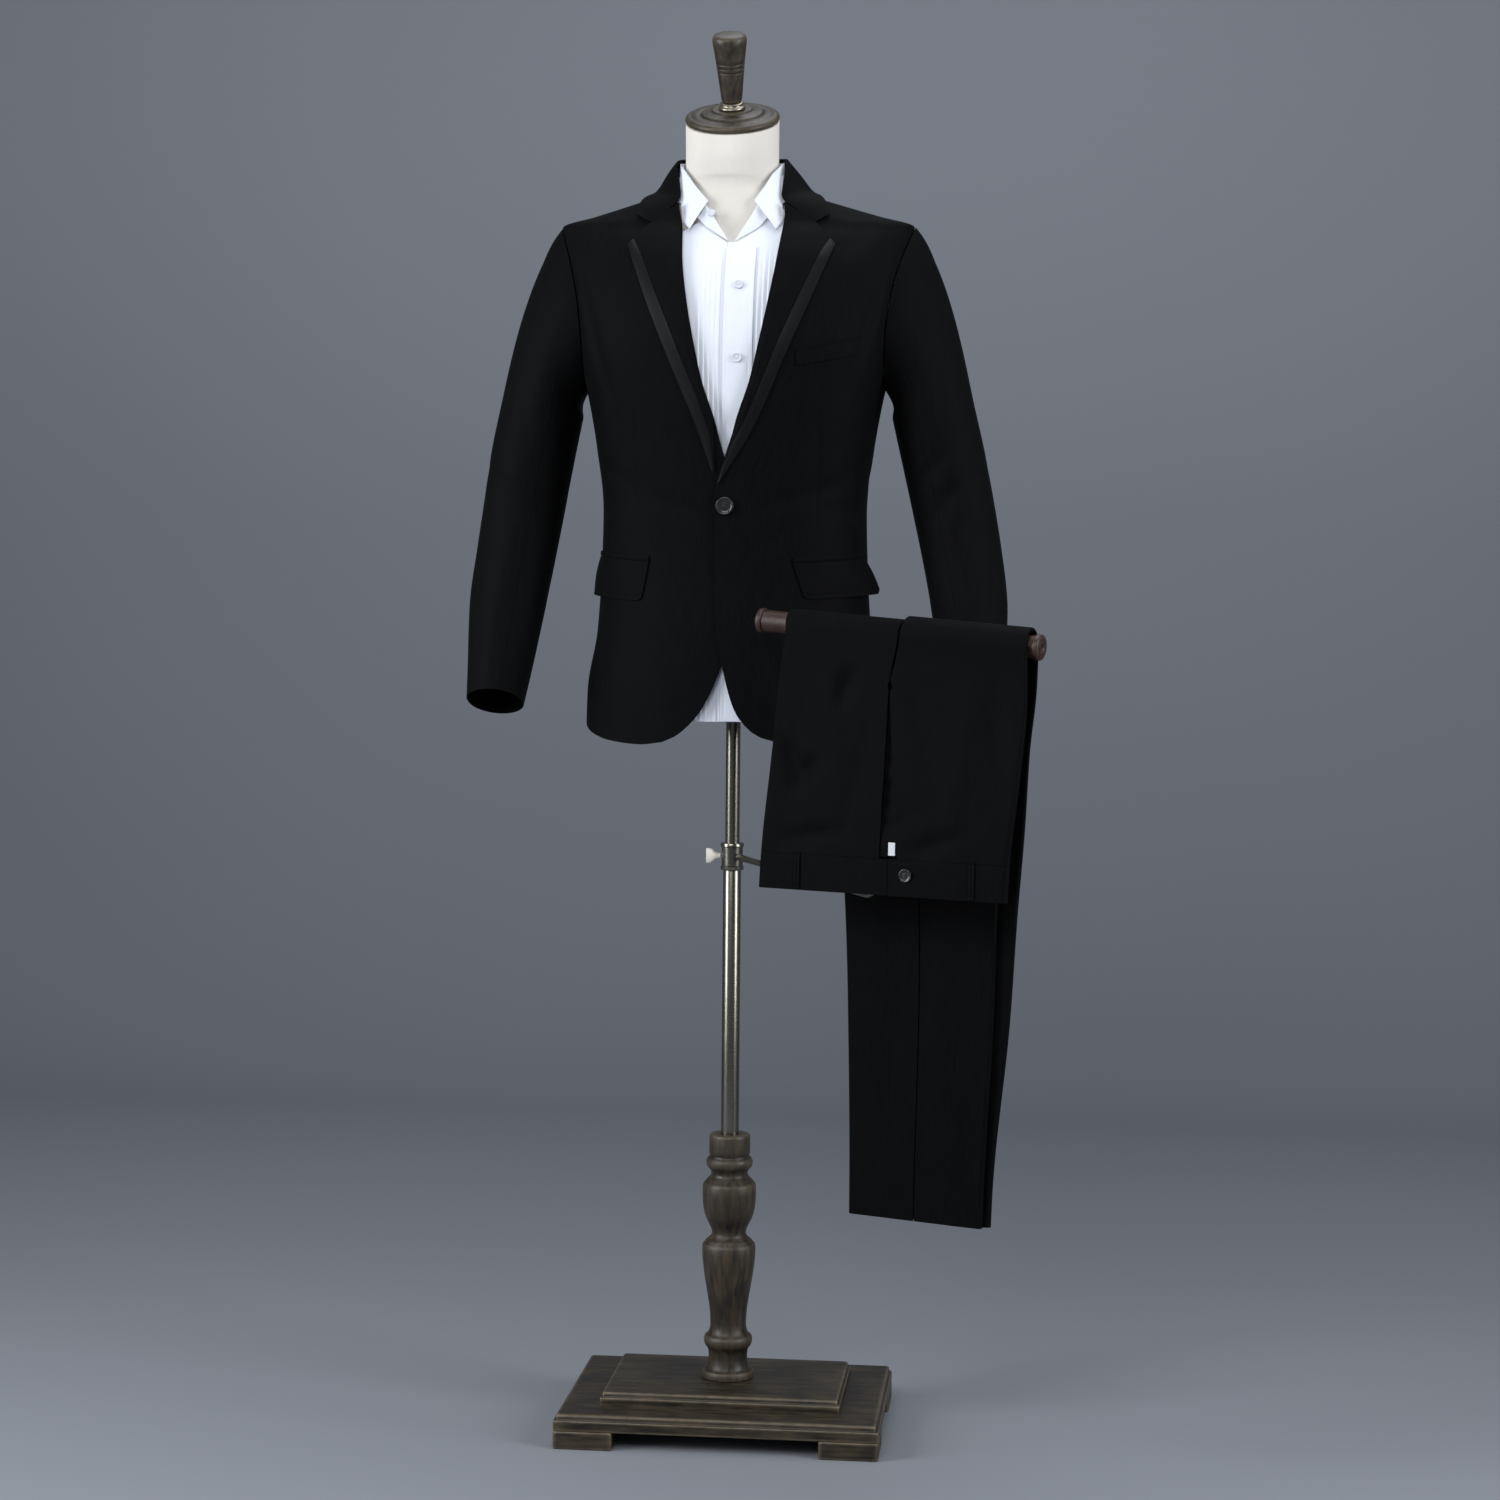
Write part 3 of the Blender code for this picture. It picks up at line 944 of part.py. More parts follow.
def trousers(cloth, white, horn):
    """Trousers folded over the rail, fronts facing out before it and the legs laid one on the other behind."""
    hem = FRONT_DROP + HALF_TURN + BACK_DROP
    for leg, table, mirrored in (("right", INNER_LEG, False), ("left", OUTER_LEG, True)):
        for part in ("front", "back"):
            leg_panel(f"trouser_{part}_{leg}", table, part == "front", mirrored, hem, cloth)
    for label, table, mirrored in (("right", INNER_LEG, False), ("left", OUTER_LEG, True)):
        lengths = np.linspace(-0.0005, BAND_HEIGHT - SEAM, 3)
        left, right, thick, base, _, closing = (c[:, None] for c in through(table, lengths).T)
        way = np.array((2.0, 2.25, 2.5, 2.75, 3.0, 3.2, 3.5, 3.8, 4.0, 4.25, 4.5, 4.75, 5.0))[None, :]
        centre = 0.0003
        if mirrored:
            left, right = -right, -left
        meet = (0.0060 - centre) if not mirrored else (-0.0060 - centre)
        shells = []
        for inset in (0.0, TROUSER_WALL + 0.0002):
            s, off = tube_point(way, left, meet + 0 * right, thick, 1.0, 0.0, inset)
            s = -s if mirrored else s
            shells.append(on_fold(lengths[:, None] + 0 * s, s, base + off))
        wall(f"waistband_{label}", shells[0], shells[1], cloth)
    lengths = np.array((BAND_HEIGHT + 0.002, 0.09, 0.14, 0.19, 0.222))[:, None]
    left = through(INNER_LEG, lengths[:, 0])[:, 1][:, None]
    right = through(OUTER_LEG, lengths[:, 0])[:, 0][:, None]
    thick, base = (through(INNER_LEG, lengths[:, 0])[:, i][:, None] for i in (2, 3))
    s = left - 0.008 + (right - left + 0.016) * np.array((0.0, 0.35, 0.65, 1.0))
    off = base + thick - TROUSER_WALL - SEAM
    wall("fly", on_fold(lengths + 0 * s, s, off + 0 * s), on_fold(lengths + 0 * s, s, off - 0.0012 + 0 * s), cloth)
    s, lengths = grid((0.0060, 0.0145), (0.046, 0.061))
    thick_here = float(through(INNER_LEG, 0.05)[2]) + 0.0003
    low = thick_here - TROUSER_WALL
    wall("size_label", on_fold(lengths, s, low + 0.0011), on_fold(lengths, s, low + 0.0001), white)
    for i, middle in enumerate((*BELT_LOOPS, *BACK_LOOPS)):
        front = i < len(BELT_LOOPS)
        s, lengths = grid((middle - LOOP_WIDTH / 2, middle + LOOP_WIDTH / 2), (0.001, 0.015, 0.03, 0.044))
        face = 0.0003 + (through(INNER_LEG, lengths)[..., 2] + SEAM if front else -SEAM - 0.0014)
        name = f"belt_loop_{'front' if front else 'back'}_{i + 1 if front else i - 1}"
        wall(name, on_fold(lengths, s, face + 0.0014), on_fold(lengths, s, face), cloth)
    where = np.array((0.024, 0.029))
    base_point = on_fold(where[0], where[1], 0.0003 + WAIST_THICKNESS + SEAM)
    tip = on_fold(where[0], where[1], 0.0003 + WAIST_THICKNESS + SEAM + 0.001)
    profile = ((0, 0), (0.0075, 0), (0.008, 0.001), (0.0072, 0.0025), (0, 0.0022))
    disc("waist_button", base_point, tip - base_point, profile, 12, horn)


def stand_on_origin():
    """Moves everything so that the box's bottom centre is the origin."""
    things = list(bpy.context.scene.objects)
    points = np.concatenate([[v.co for v in thing.data.vertices] for thing in things])
    low, high = points.min(0), points.max(0)
    shift = (-(low[0] + high[0]) / 2, -(low[1] + high[1]) / 2, -low[2])
    for thing in things:
        thing.data.transform(Matrix.Translation(shift))


def main():
    for thing in list(bpy.data.objects):
        bpy.data.objects.remove(thing)
    black = finish("black_wool", (0.010, 0.010, 0.012), 0.85)
    satin = finish("black_satin", (0.016, 0.016, 0.018), 0.35)
    white = finish("white_cotton", (0.85, 0.86, 0.90), 0.8)
    linen = finish("natural_linen", (0.74, 0.71, 0.66), 0.9)
    wood = finish("dark_wood", (0.045, 0.036, 0.028), 0.5)
    red_wood = finish("reddish_wood", (0.10, 0.035, 0.025), 0.45)
    steel = finish("brushed_steel", (0.55, 0.55, 0.53), 0.28, 1.0)
    pearl = finish("pearl_button", (0.75, 0.76, 0.78), 0.3)
    horn = finish("black_button", (0.015, 0.015, 0.016), 0.4)
    jacket_front("jacket_front_left", 1, OVERLAP_LIFT, black)
    jacket_front("jacket_front_right", -1, 0.0, black)
    jacket_back("jacket_back_left", 1, black)
    jacket_back("jacket_back_right", -1, black)
    lapel(1, LAPEL_BREAK_LEFT, OVERLAP_LIFT, black, satin)
    lapel(-1, LAPEL_BREAK_RIGHT, 0.0, black, satin)
    collar(black)
    sleeve(1, black)
    sleeve(-1, black)
    pockets(black)
    x, height, radius, thickness = JACKET_BUTTON
    low = OVERLAP_LIFT + JACKET_WALL + LAID
    button("jacket_button", float(angle_at(np.array(x), np.array(height))), height, low, radius, thickness, horn)
    shirt(white, pearl)
    neck_cap(form(linen), wood)
    stand(wood, steel, red_wood, pearl)
    trousers(black, white, horn)
    stand_on_origin()


main()
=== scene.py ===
"""A tuxedo on a dress form stand, dressed in the order in which it is put together.

Metres, +Z up, the jacket's front facing -Y. Garment shapes are worked out about the stand's pole at x = y = 0
and moved onto the frame's pole as they go into a mesh.
"""

import math

import bpy
import numpy as np
from mathutils import Matrix, Vector


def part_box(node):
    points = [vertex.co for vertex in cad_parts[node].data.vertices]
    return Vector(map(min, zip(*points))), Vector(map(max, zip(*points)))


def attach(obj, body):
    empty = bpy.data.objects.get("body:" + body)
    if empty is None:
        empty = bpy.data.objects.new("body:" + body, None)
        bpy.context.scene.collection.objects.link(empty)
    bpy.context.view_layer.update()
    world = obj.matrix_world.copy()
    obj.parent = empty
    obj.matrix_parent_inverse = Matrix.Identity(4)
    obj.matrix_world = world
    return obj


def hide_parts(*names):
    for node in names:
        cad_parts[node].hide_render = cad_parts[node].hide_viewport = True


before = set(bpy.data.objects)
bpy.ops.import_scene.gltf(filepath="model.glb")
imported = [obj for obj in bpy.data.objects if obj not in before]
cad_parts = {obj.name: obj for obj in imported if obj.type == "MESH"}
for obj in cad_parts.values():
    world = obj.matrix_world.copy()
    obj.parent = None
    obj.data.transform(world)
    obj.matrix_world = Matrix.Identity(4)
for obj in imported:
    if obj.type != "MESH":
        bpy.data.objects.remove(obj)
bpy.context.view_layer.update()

# Base: two stepped plates of solid beech on four square corner feet, moulded along their edges, stained
# dark grey-brown and rubbed back so that the edges show worn, pale wood. Glued and screwed from below.

STAIN_DARK, STAIN_BROWN, WORN_WOOD = "#15120c", "#3c3221", "#8a7d66"
GRAIN_WIDTH, GRAIN_SQUEEZE = 0.0022, 0.12


def linear(colour):
    """The linear red, green, blue and alpha of an sRGB hex value."""
    parts = np.array([int(colour[i:i + 2], 16) / 255 for i in (1, 3, 5)])
    parts = np.where(parts <= 0.04045, parts / 12.92, ((parts + 0.055) / 1.055) ** 2.4)
    return (*parts.tolist(), 1.0)


def add(tree, kind, inputs, **settings):
    """Adds a shader node: inputs holds, for each socket's name or number, a value or another node's output."""
    node = tree.nodes.new("ShaderNode" + kind)
    for name, value in settings.items():
        setattr(node, name, value)
    for name, value in inputs.items():
        if isinstance(value, bpy.types.NodeSocket):
            tree.links.new(value, node.inputs[name])
        else:
            node.inputs[name].default_value = value
    return node


def finish(name, **sockets):
    """A new material and its node tree, with its Principled shader's constant sockets set."""
    made = bpy.data.materials.new(name)
    made.use_nodes = True
    for socket, value in sockets.items():
        made.node_tree.nodes["Principled BSDF"].inputs[socket.replace("_", " ")].default_value = value
    return made, made.node_tree


def noise(tree, place, scale, detail, **sockets):
    """The strength of a cloudy noise at a place."""
    return add(tree, "TexNoise", {"Vector": place, "Scale": scale, "Detail": detail, **sockets}).outputs["Fac"]


def spread(tree, value, low, high, start=0.0, end=1.0, **settings):
    """A value that runs from low to high while another runs from start to end."""
    limits = {"Value": value, "From Min": start, "From Max": end, "To Min": low, "To Max": high}
    return add(tree, "MapRange", limits, **settings).outputs[0]


def mixed(tree, share, first, second, **settings):
    """Two colours mixed by a share, or as blend_type says."""
    return add(tree, "Mix", {0: share, 6: first, 7: second}, data_type="RGBA", **settings).outputs[2]


def surfaced(made, colour, rough, height, strength, distance):
    """The material, its shader joined to a colour, a roughness and a height that raises its surface."""
    tree = made.node_tree
    shader = tree.nodes["Principled BSDF"]
    bump = add(tree, "Bump", {"Height": height, "Strength": strength, "Distance": distance}).outputs[0]
    for socket, value in (("Base Color", colour), ("Roughness", rough), ("Normal", bump)):
        tree.links.new(value, shader.inputs[socket])
    return made


def stained_wood(name, along, dark, brown, worn, wear):
    """Stained, rubbed-back beech: dark pores drawn out along the grain, mottled stain, pale where it is worn.

    The stain leaves a low satin gloss. Grain lines are about 2 mm apart, twice the real pores', so they show.
    """
    made, tree = finish(name, Specular_IOR_Level=0.45)
    place = add(tree, "TexCoord", {}).outputs["Object"]
    stretch = tuple(1.0 if i == along else 1 / GRAIN_SQUEEZE for i in range(3))
    drawn = add(tree, "Mapping", {"Vector": place, "Scale": stretch}).outputs[0]
    grain = noise(tree, drawn, GRAIN_SQUEEZE / GRAIN_WIDTH * 0.35, 5.0, Roughness=0.62)
    stain = mixed(tree, spread(tree, grain, 0.0, 1.0, 0.36, 0.66), linear(dark), linear(brown))
    mottle = spread(tree, noise(tree, place, 22.0, 3.0), 0.55, 1.25, 0.35, 0.75)
    toned = mixed(tree, 1.0, stain, mottle, blend_type="MULTIPLY")
    ridge = spread(tree, add(tree, "NewGeometry", {}).outputs["Pointiness"], 0.0, wear, 0.505, 0.56)
    rubbed = add(tree, "Math", {0: ridge, 1: noise(tree, place, 75.0, 4.0)}, operation="MULTIPLY").outputs[0]
    colour = mixed(tree, rubbed, toned, linear(worn))
    return surfaced(made, colour, spread(tree, grain, 0.36, 0.58, 0.3, 0.7), grain, 0.25, 0.0006)


def ring_faces(rows, sides):
    """The faces between rows of points that each close into a ring, with a cap on the first and the last."""
    a = np.arange((rows - 1) * sides).reshape(-1, sides)
    b = np.roll(a, -1, 1)
    quads = np.stack([a, b, b + sides, a + sides], -1).reshape(-1, 4).tolist()
    return quads + [list(range(sides))[::-1], list(range((rows - 1) * sides, rows * sides))]


def put_in(name, points, faces, material, replaced=None, slot=None, uv=None, moved=True):
    """A smooth-shaded mesh of that name, moved from the origin to the pole, on the part's one body if it has a slot."""
    low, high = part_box("pole")
    points = np.asarray(points, float).reshape(-1, 3)
    if moved:
        points = points + np.array([(low[0] + high[0]) / 2, (low[1] + high[1]) / 2, 0.0])
    mesh = bpy.data.meshes.new(name)
    mesh.from_pydata(points, [], [list(map(int, face)) for face in faces])
    if uv is not None:
        layer = mesh.uv_layers.new(name="cloth")
        corner = np.empty(len(mesh.loops), np.int32)
        mesh.loops.foreach_get("vertex_index", corner)
        layer.data.foreach_set("uv", np.asarray(uv, np.float32)[corner].ravel())
    mesh.materials.append(material)
    mesh.shade_smooth()
    mesh.set_sharp_from_angle(angle=math.radians(50))
    thing = bpy.data.objects.new(name, mesh)
    bpy.context.scene.collection.objects.link(thing)
    if slot:
        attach(thing, "root")
    if replaced:
        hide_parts(replaced)
    return thing


def unit(count):
    """Even steps from 0 to 1."""
    return np.linspace(0, 1, count)


def mm(*rows):
    """A table given in millimetres, in metres."""
    return np.array(rows, float) / 1000


PLATE_ROWS = mm(
    (397.6, 285.6, 22.5), (399.2, 287.2, 22.9), (400, 288, 24), (400, 288, 26.2), (400, 288, 32.5), (400, 288, 34.4),
    (399.5, 287.5, 35.2), (397.8, 285.8, 35.6), (395.4, 283.4, 35.9), (394.3, 282.3, 36.4), (393.7, 281.7, 37.4),
    (393.4, 281.4, 39), (393, 281, 40.2), (392, 280, 41.4), (390, 278, 42.2), (387.2, 275.2, 42.6), (383, 271, 42.7),
    (303, 197, 42.9), (298.6, 192.6, 43), (298, 192, 44.2), (298, 192, 46), (298, 192, 50), (297.8, 191.8, 51.7),
    (296.8, 190.8, 52.5), (294.8, 188.8, 52.9), (293.6, 187.6, 53.4), (293, 187, 54.5), (292.6, 186.6, 56.2),
    (291.8, 185.8, 57.8), (290, 184, 58.8), (288, 182, 59.2), (284.6, 178.6, 59.4), (90, 90, 59.4),
)
FOOT_ROWS = mm(
    (70, 70, 0), (72.2, 72.2, 0.6), (73, 73, 2.2), (73, 73, 4.5), (73, 73, 18), (73, 73, 20.4), (72.6, 72.6, 21.6),
    (71, 71, 22.2),
)
CORNER, CORNER_POINTS, EDGE_POINTS = 0.003, 6, 30


def planed(name, rows, centre, material, replaced):
    """A squared block: rounded rectangles of (width, depth, height) one over the other, closed above and below."""
    width, depth, height = (column[:, None, None] for column in rows.T)
    turn = np.radians(np.linspace(0, 90, CORNER_POINTS) + 90 * np.arange(4)[:, None])
    x = np.sign(np.cos(turn[:, 2:3])) * (width / 2 - CORNER) + CORNER * np.cos(turn)
    y = np.sign(np.sin(turn[:, 2:3])) * (depth / 2 - CORNER) + CORNER * np.sin(turn)
    arc = np.stack([x, y, height + 0 * x], -1)
    t = unit(EDGE_POINTS)[1:-1, None]
    edge = arc[:, :, -1:] * (1 - t) + np.roll(arc, -1, 1)[:, :, :1] * t
    rings = np.concatenate([arc, edge], 2).reshape(len(rows), -1, 3)
    put_in(name, rings + np.array(centre), ring_faces(*rings.shape[:2]), material, replaced, "dark_wood", moved=False)


plank_wood = stained_wood("stained_beech_plank", 0, STAIN_DARK, STAIN_BROWN, WORN_WOOD, 1.0)
for node in ("base_plates", "base_foot_1", "base_foot_2", "base_foot_3", "base_foot_4"):
    low, high = (np.array(corner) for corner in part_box(node))
    middle = ((low + high) / 2 * (1, 1, 0)).tolist()
    planed(f"beech_{node}", PLATE_ROWS if node == "base_plates" else FOOT_ROWS, middle, plank_wood, node)

# Column: beech turned on a lathe, with a foot ring, beads and two long swellings, stained like the base.
# It is screwed to the upper plate and bored for the pole.

COLUMN_PROFILE = mm(
    (30, 60), (31.8, 60.2), (32.5, 61.2), (32.6, 64), (32.5, 68.2), (31.5, 69.8), (28.5, 71.2), (26.8, 73.5),
    (25.8, 77), (24.6, 81.5), (24.3, 86), (24.6, 92), (25.4, 96.5), (27.5, 99.5), (29.6, 102.5), (30.5, 106),
    (30.5, 110), (29.4, 113.2), (26.8, 115.2), (25, 117.2), (23.8, 120.5), (22.6, 125), (22.6, 131), (23.2, 142),
    (24.4, 153), (26.2, 164), (28.2, 176), (30.2, 188), (32, 201), (33.2, 212), (33.6, 220), (33.5, 227.5),
    (32.7, 230.5), (30.5, 232.5), (29.6, 234.5), (26.2, 237.2), (22.8, 240.2), (21.5, 243.2), (21.6, 247),
    (23.2, 251.5), (25.8, 256.8), (28.6, 262.5), (30.8, 268.5), (32.5, 276.5), (33.4, 285), (33.7, 295), (33.5, 305),
    (32.2, 308.2), (29.8, 310.2), (28.4, 312.5), (25, 315.5), (23.1, 318.5), (23.1, 322.5), (25.5, 326.2),
    (28.2, 329.2), (29.3, 332.5), (29.2, 336.5), (27.5, 339.8), (25.2, 341.5), (24.9, 344), (25.7, 345.8),
    (25.8, 350), (25.7, 366), (25.2, 369), (24.2, 370), (12, 370),
)


def direction(vectors):
    """Each vector over its own length."""
    vectors = np.asarray(vectors, float)
    return vectors / np.linalg.norm(vectors, axis=-1, keepdims=True)


def turned(name, centre, axis, profile, sides, material, replaced, slot):
    """A lathe piece: each (radius, distance) of the profile carried round the axis, closed by a cap at each end."""
    axis = direction(axis)
    right = direction(np.cross(axis, (1.0, 0.0, 0.0) if abs(axis[0]) < 0.9 else (0.0, 1.0, 0.0)))
    turn = np.arange(sides) * 2 * math.pi / sides
    around = np.cos(turn)[:, None] * right + np.sin(turn)[:, None] * np.cross(axis, right)
    radius, distance = np.array(profile, float).T
    rings = np.asarray(centre, float) + distance[:, None, None] * axis + radius[:, None, None] * around
    put_in(name, rings, ring_faces(len(radius), sides), material, replaced, slot)


UP = (0.0, 0.0, 1.0)
turned_wood = stained_wood("stained_beech_turned", 2, STAIN_DARK, STAIN_BROWN, WORN_WOOD, 0.38)
column_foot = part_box("column")[0][2]
column_middle = (0.0, 0.0, column_foot - COLUMN_PROFILE[0, 1])
turned("turned_column", column_middle, UP, COLUMN_PROFILE, 72, turned_wood, "column", "dark_wood")

# Pole: two steel tubes, the thinner sliding in the lower, locked where the clamp sits. Drawn and brushed
# round, so it has fine rings and a soft, long highlight.

POLE_RADIUS, INNER_POLE_RADIUS = 0.0112, 0.0090
CLAMP_HEIGHT, CLAMP_LENGTH, CLAMP_RADIUS, CLEARANCE = 0.7206, 0.034, 0.0145, 0.0003


def brushed_steel(name, colour, rough):
    """Nickel-bright steel: fine brush lines 0.6 mm apart, drawn coarse, break up a satin reflection."""
    made, tree = finish(name, Metallic=1.0)
    place = add(tree, "TexCoord", {}).outputs["Object"]
    drawn = add(tree, "Mapping", {"Vector": place, "Scale": (25.0, 25.0, 1800.0)}).outputs[0]
    lines = noise(tree, drawn, 1.0, 3.0)
    haze = spread(tree, noise(tree, place, 40.0, 2.0), 0.82, 1.1)
    tint = mixed(tree, 1.0, linear(colour), haze, blend_type="MULTIPLY")
    return surfaced(made, tint, spread(tree, lines, rough - 0.03, rough + 0.05), lines, 0.04, 0.0001)


steel = brushed_steel("brushed_nickel_steel", "#7c7a71", 0.25)
pole_low, pole_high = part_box("pole")[0][2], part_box("pole")[1][2]
pole_joint = CLAMP_HEIGHT + CLAMP_LENGTH / 2 - 0.006
pole_profile = (
    (POLE_RADIUS, pole_low), (POLE_RADIUS, pole_joint - 0.0008), (POLE_RADIUS - 0.0004, pole_joint),
    (INNER_POLE_RADIUS, pole_joint), (INNER_POLE_RADIUS, pole_high),
)
turned("pole_tubes", (0, 0, 0), UP, pole_profile, 48, steel, "pole", "brushed_steel")

# Clamp: a turned steel collar round the pole, with a rim at each end, drawn tight by a pale plastic wing screw on
# one side; the rail's rod is held in its other side.


def moulded_plastic(name, colour, rough, spotted=0.04):
    """Injection-moulded plastic: even colour with a faint bloom and a fine spark-eroded grain."""
    made, tree = finish(name, IOR=1.49)
    place = add(tree, "TexCoord", {}).outputs["Object"]
    bloom = noise(tree, place, 90.0, 2.0)
    tone = spread(tree, bloom, 1 - spotted, 1 + spotted)
    tint = mixed(tree, 1.0, linear(colour), tone, blend_type="MULTIPLY")
    grit = noise(tree, place, 1800.0, 1.0)
    return surfaced(made, tint, spread(tree, bloom, rough - 0.05, rough + 0.08), grit, 0.08, 0.0002)


half, bore = CLAMP_LENGTH / 2, POLE_RADIUS + CLEARANCE
clamp_half = np.array(((0.0055, 0.0012), (0.0045, 0.0), (0.0008, 0.0), (0.0, 0.0008)))
clamp_top = np.stack([CLAMP_RADIUS - clamp_half[:, 1], half - clamp_half[:, 0]], -1)
clamp_profile = np.concatenate([[(bore, -half)], clamp_top[::-1] * (1, -1), clamp_top, [(bore, half)]])
turned("pole_clamp", (0, 0, CLAMP_HEIGHT), UP, clamp_profile, 48, steel, "clamp", "brushed_steel")

screw_plastic = moulded_plastic("ivory_wing_screw", "#cfcac0", 0.34)
WING_ROWS, WING_SIDES, WING_REACH = 9, 24, 0.018
reach, wing = np.meshgrid(unit(WING_ROWS), np.linspace(0, 2 * math.pi, WING_SIDES + 1)[:-1], indexing="ij")
waist = 0.0036 + 0.0022 * np.sin(reach * math.pi * 0.92) ** 2
flare = 1 + 1.55 * np.clip((reach - 0.3) / 0.7, 0, 1) ** 1.3
wing_points = np.stack([
    -CLAMP_RADIUS - CLEARANCE - WING_REACH * reach, waist * np.cos(wing) * (1 - 0.35 * reach),
    CLAMP_HEIGHT + waist * np.sin(wing) * flare], -1)
# The screw grows towards -X, so its faces are turned over
wing_faces = [[face[0], *face[:0:-1]] for face in ring_faces(WING_ROWS, WING_SIDES)]
put_in("wing_screw", wing_points, wing_faces, screw_plastic, "clamp_screw", "pearl_button")

# Trouser rail: a bent steel rod from the clamp up to a varnished hardwood dowel with a flat turned cap on each
# end. The dowel is screwed to the rod from below.

RAIL_MIDDLE = (0.218, -0.255, 1.0075)
RAIL_TURN = math.radians(22.0)
RAIL_SLOPE = math.tan(math.radians(3.9))
DOWEL_RADIUS, DOWEL_HALF_LENGTH = 0.0130, 0.172
ROD_RADIUS, ROD_BEND = 0.0040, 0.014
ELBOW = (-0.027, 0.0, -0.3065)


def rail_place(s, q, h):
    """World points of the rail's frame: s along the rail, q to the front, h up from the dowel's middle."""
    along = np.array((math.cos(RAIL_TURN), -math.sin(RAIL_TURN), 0.0))
    ahead = np.array((-math.sin(RAIL_TURN), -math.cos(RAIL_TURN), 0.0))
    s, q, h = (np.asarray(x, float)[..., None] for x in np.broadcast_arrays(s, q, h))
    return np.array(RAIL_MIDDLE) + s * along + q * ahead + h * np.array(UP)


elbow, rod_top = rail_place(*ELBOW), rail_place(0.0, 0.0, -DOWEL_RADIUS - 0.0004)
clamp_middle = np.array((0.0, 0.0, CLAMP_HEIGHT))
rod_start = clamp_middle + direction((elbow - clamp_middle) * (1, 1, 0)) * (CLAMP_RADIUS + 0.0002)
rise, back = direction(rod_top - elbow), direction(rod_start - elbow)
t = unit(14)[:, None]
bend = (1 - t) ** 2 * (elbow + ROD_BEND * back) + 2 * t * (1 - t) * elbow + t**2 * (elbow + ROD_BEND * rise)
rod_path = np.concatenate([[rod_start], bend, [rod_top]])


def tube(name, path, radius, sides, material, replaced, slot):
    """A round rod: a circle carried along a path, kept from twisting by the plane of the path."""
    along = direction(np.gradient(path, axis=0))
    middle = path[len(path) // 2]
    across = direction(np.cross(path[0] - middle, path[-1] - middle)) + 0 * along
    other = direction(np.cross(along, across))
    turn = (np.arange(sides) * 2 * math.pi / sides)[:, None]
    rings = path[:, None] + radius * (np.cos(turn) * across[:, None] + np.sin(turn) * other[:, None])
    put_in(name, rings, ring_faces(len(path), sides), material, replaced, slot)


tube("rail_arm", rod_path, ROD_RADIUS, 20, steel, "rail_rod", "brushed_steel")
dowel_wood = stained_wood("varnished_hardwood_dowel", 0, "#1b0f0b", "#351f16", "#7a5a48", 0.1)
ends = [rail_place(s, 0.0, -s * RAIL_SLOPE) for s in (-DOWEL_HALF_LENGTH, DOWEL_HALF_LENGTH)]
dowel_axis = ends[1] - ends[0]
dowel_profile = ((DOWEL_RADIUS, 0.0), (DOWEL_RADIUS, np.linalg.norm(dowel_axis)))
turned("dowel_bar", ends[0], dowel_axis, dowel_profile, 48, dowel_wood, "rail_dowel", "reddish_wood")
cap_profile = mm(
    (13.5, 0.3), (14.6, 0.6), (15, 1.4), (15, 5.8), (14.6, 7), (13.4, 7.8), (9.8, 8), (9.4, 7.4), (8.6, 7.4),
    (8.2, 8), (5.2, 8), (4.5, 7.2), (4, 6.5), (0.6, 6.5),
)
for end, axis, label in ((ends[0], -dowel_axis, "left"), (ends[1], dowel_axis, "right")):
    turned(f"dowel_cap_{label}", end, axis, cap_profile, 40, dowel_wood, f"rail_cap_{label}", "reddish_wood")

# Dress form: a moulded torso, padded and covered tightly in unbleached linen, with a straight neck cut on a
# slope. It is screwed to the top of the pole. The garments hang on it.

# Body rings inside the jacket: height, half width, half depth, middle's y, roundness of the outline
BODY_RINGS = (
    (0.850, 0.1828, 0.1260, 0.005, 2.30),
    (0.930, 0.1800, 0.1240, 0.005, 2.30),
    (1.000, 0.1690, 0.1190, 0.003, 2.30),
    (1.077, 0.1640, 0.1130, 0.001, 2.30),
    (1.150, 0.1620, 0.1110, -0.001, 2.30),
    (1.226, 0.1700, 0.1140, -0.002, 2.35),
    (1.285, 0.1800, 0.1190, -0.002, 2.40),
    (1.343, 0.1930, 0.1205, -0.001, 2.50),
    (1.400, 0.2030, 0.1140, 0.002, 2.50),
    (1.450, 0.2110, 0.0980, 0.006, 2.50),
    (1.480, 0.2155, 0.0780, 0.009, 2.50),
    (1.500, 0.2175, 0.0620, 0.011, 2.40),
    (1.512, 0.1780, 0.0585, 0.012, 2.30),
    (1.524, 0.1380, 0.0560, 0.012, 2.20),
    (1.535, 0.1030, 0.0550, 0.012, 2.10),
    (1.546, 0.0735, 0.0550, 0.012, 2.00),
    (1.560, 0.0665, 0.0600, 0.010, 2.00),
    (1.600, 0.0655, 0.0625, 0.006, 2.00),
    (1.680, 0.0655, 0.0625, 0.004, 2.00),
)
NECK_LEAN, LEAN_FOOT, LEAN_RISE = 0.008, 1.485, 0.090
# Steps in degrees and metres over which the surface's slope is taken
TURN_STEP, RISE_STEP = 0.4, 0.0015
SIDES = ((1, "left"), (-1, "right"))
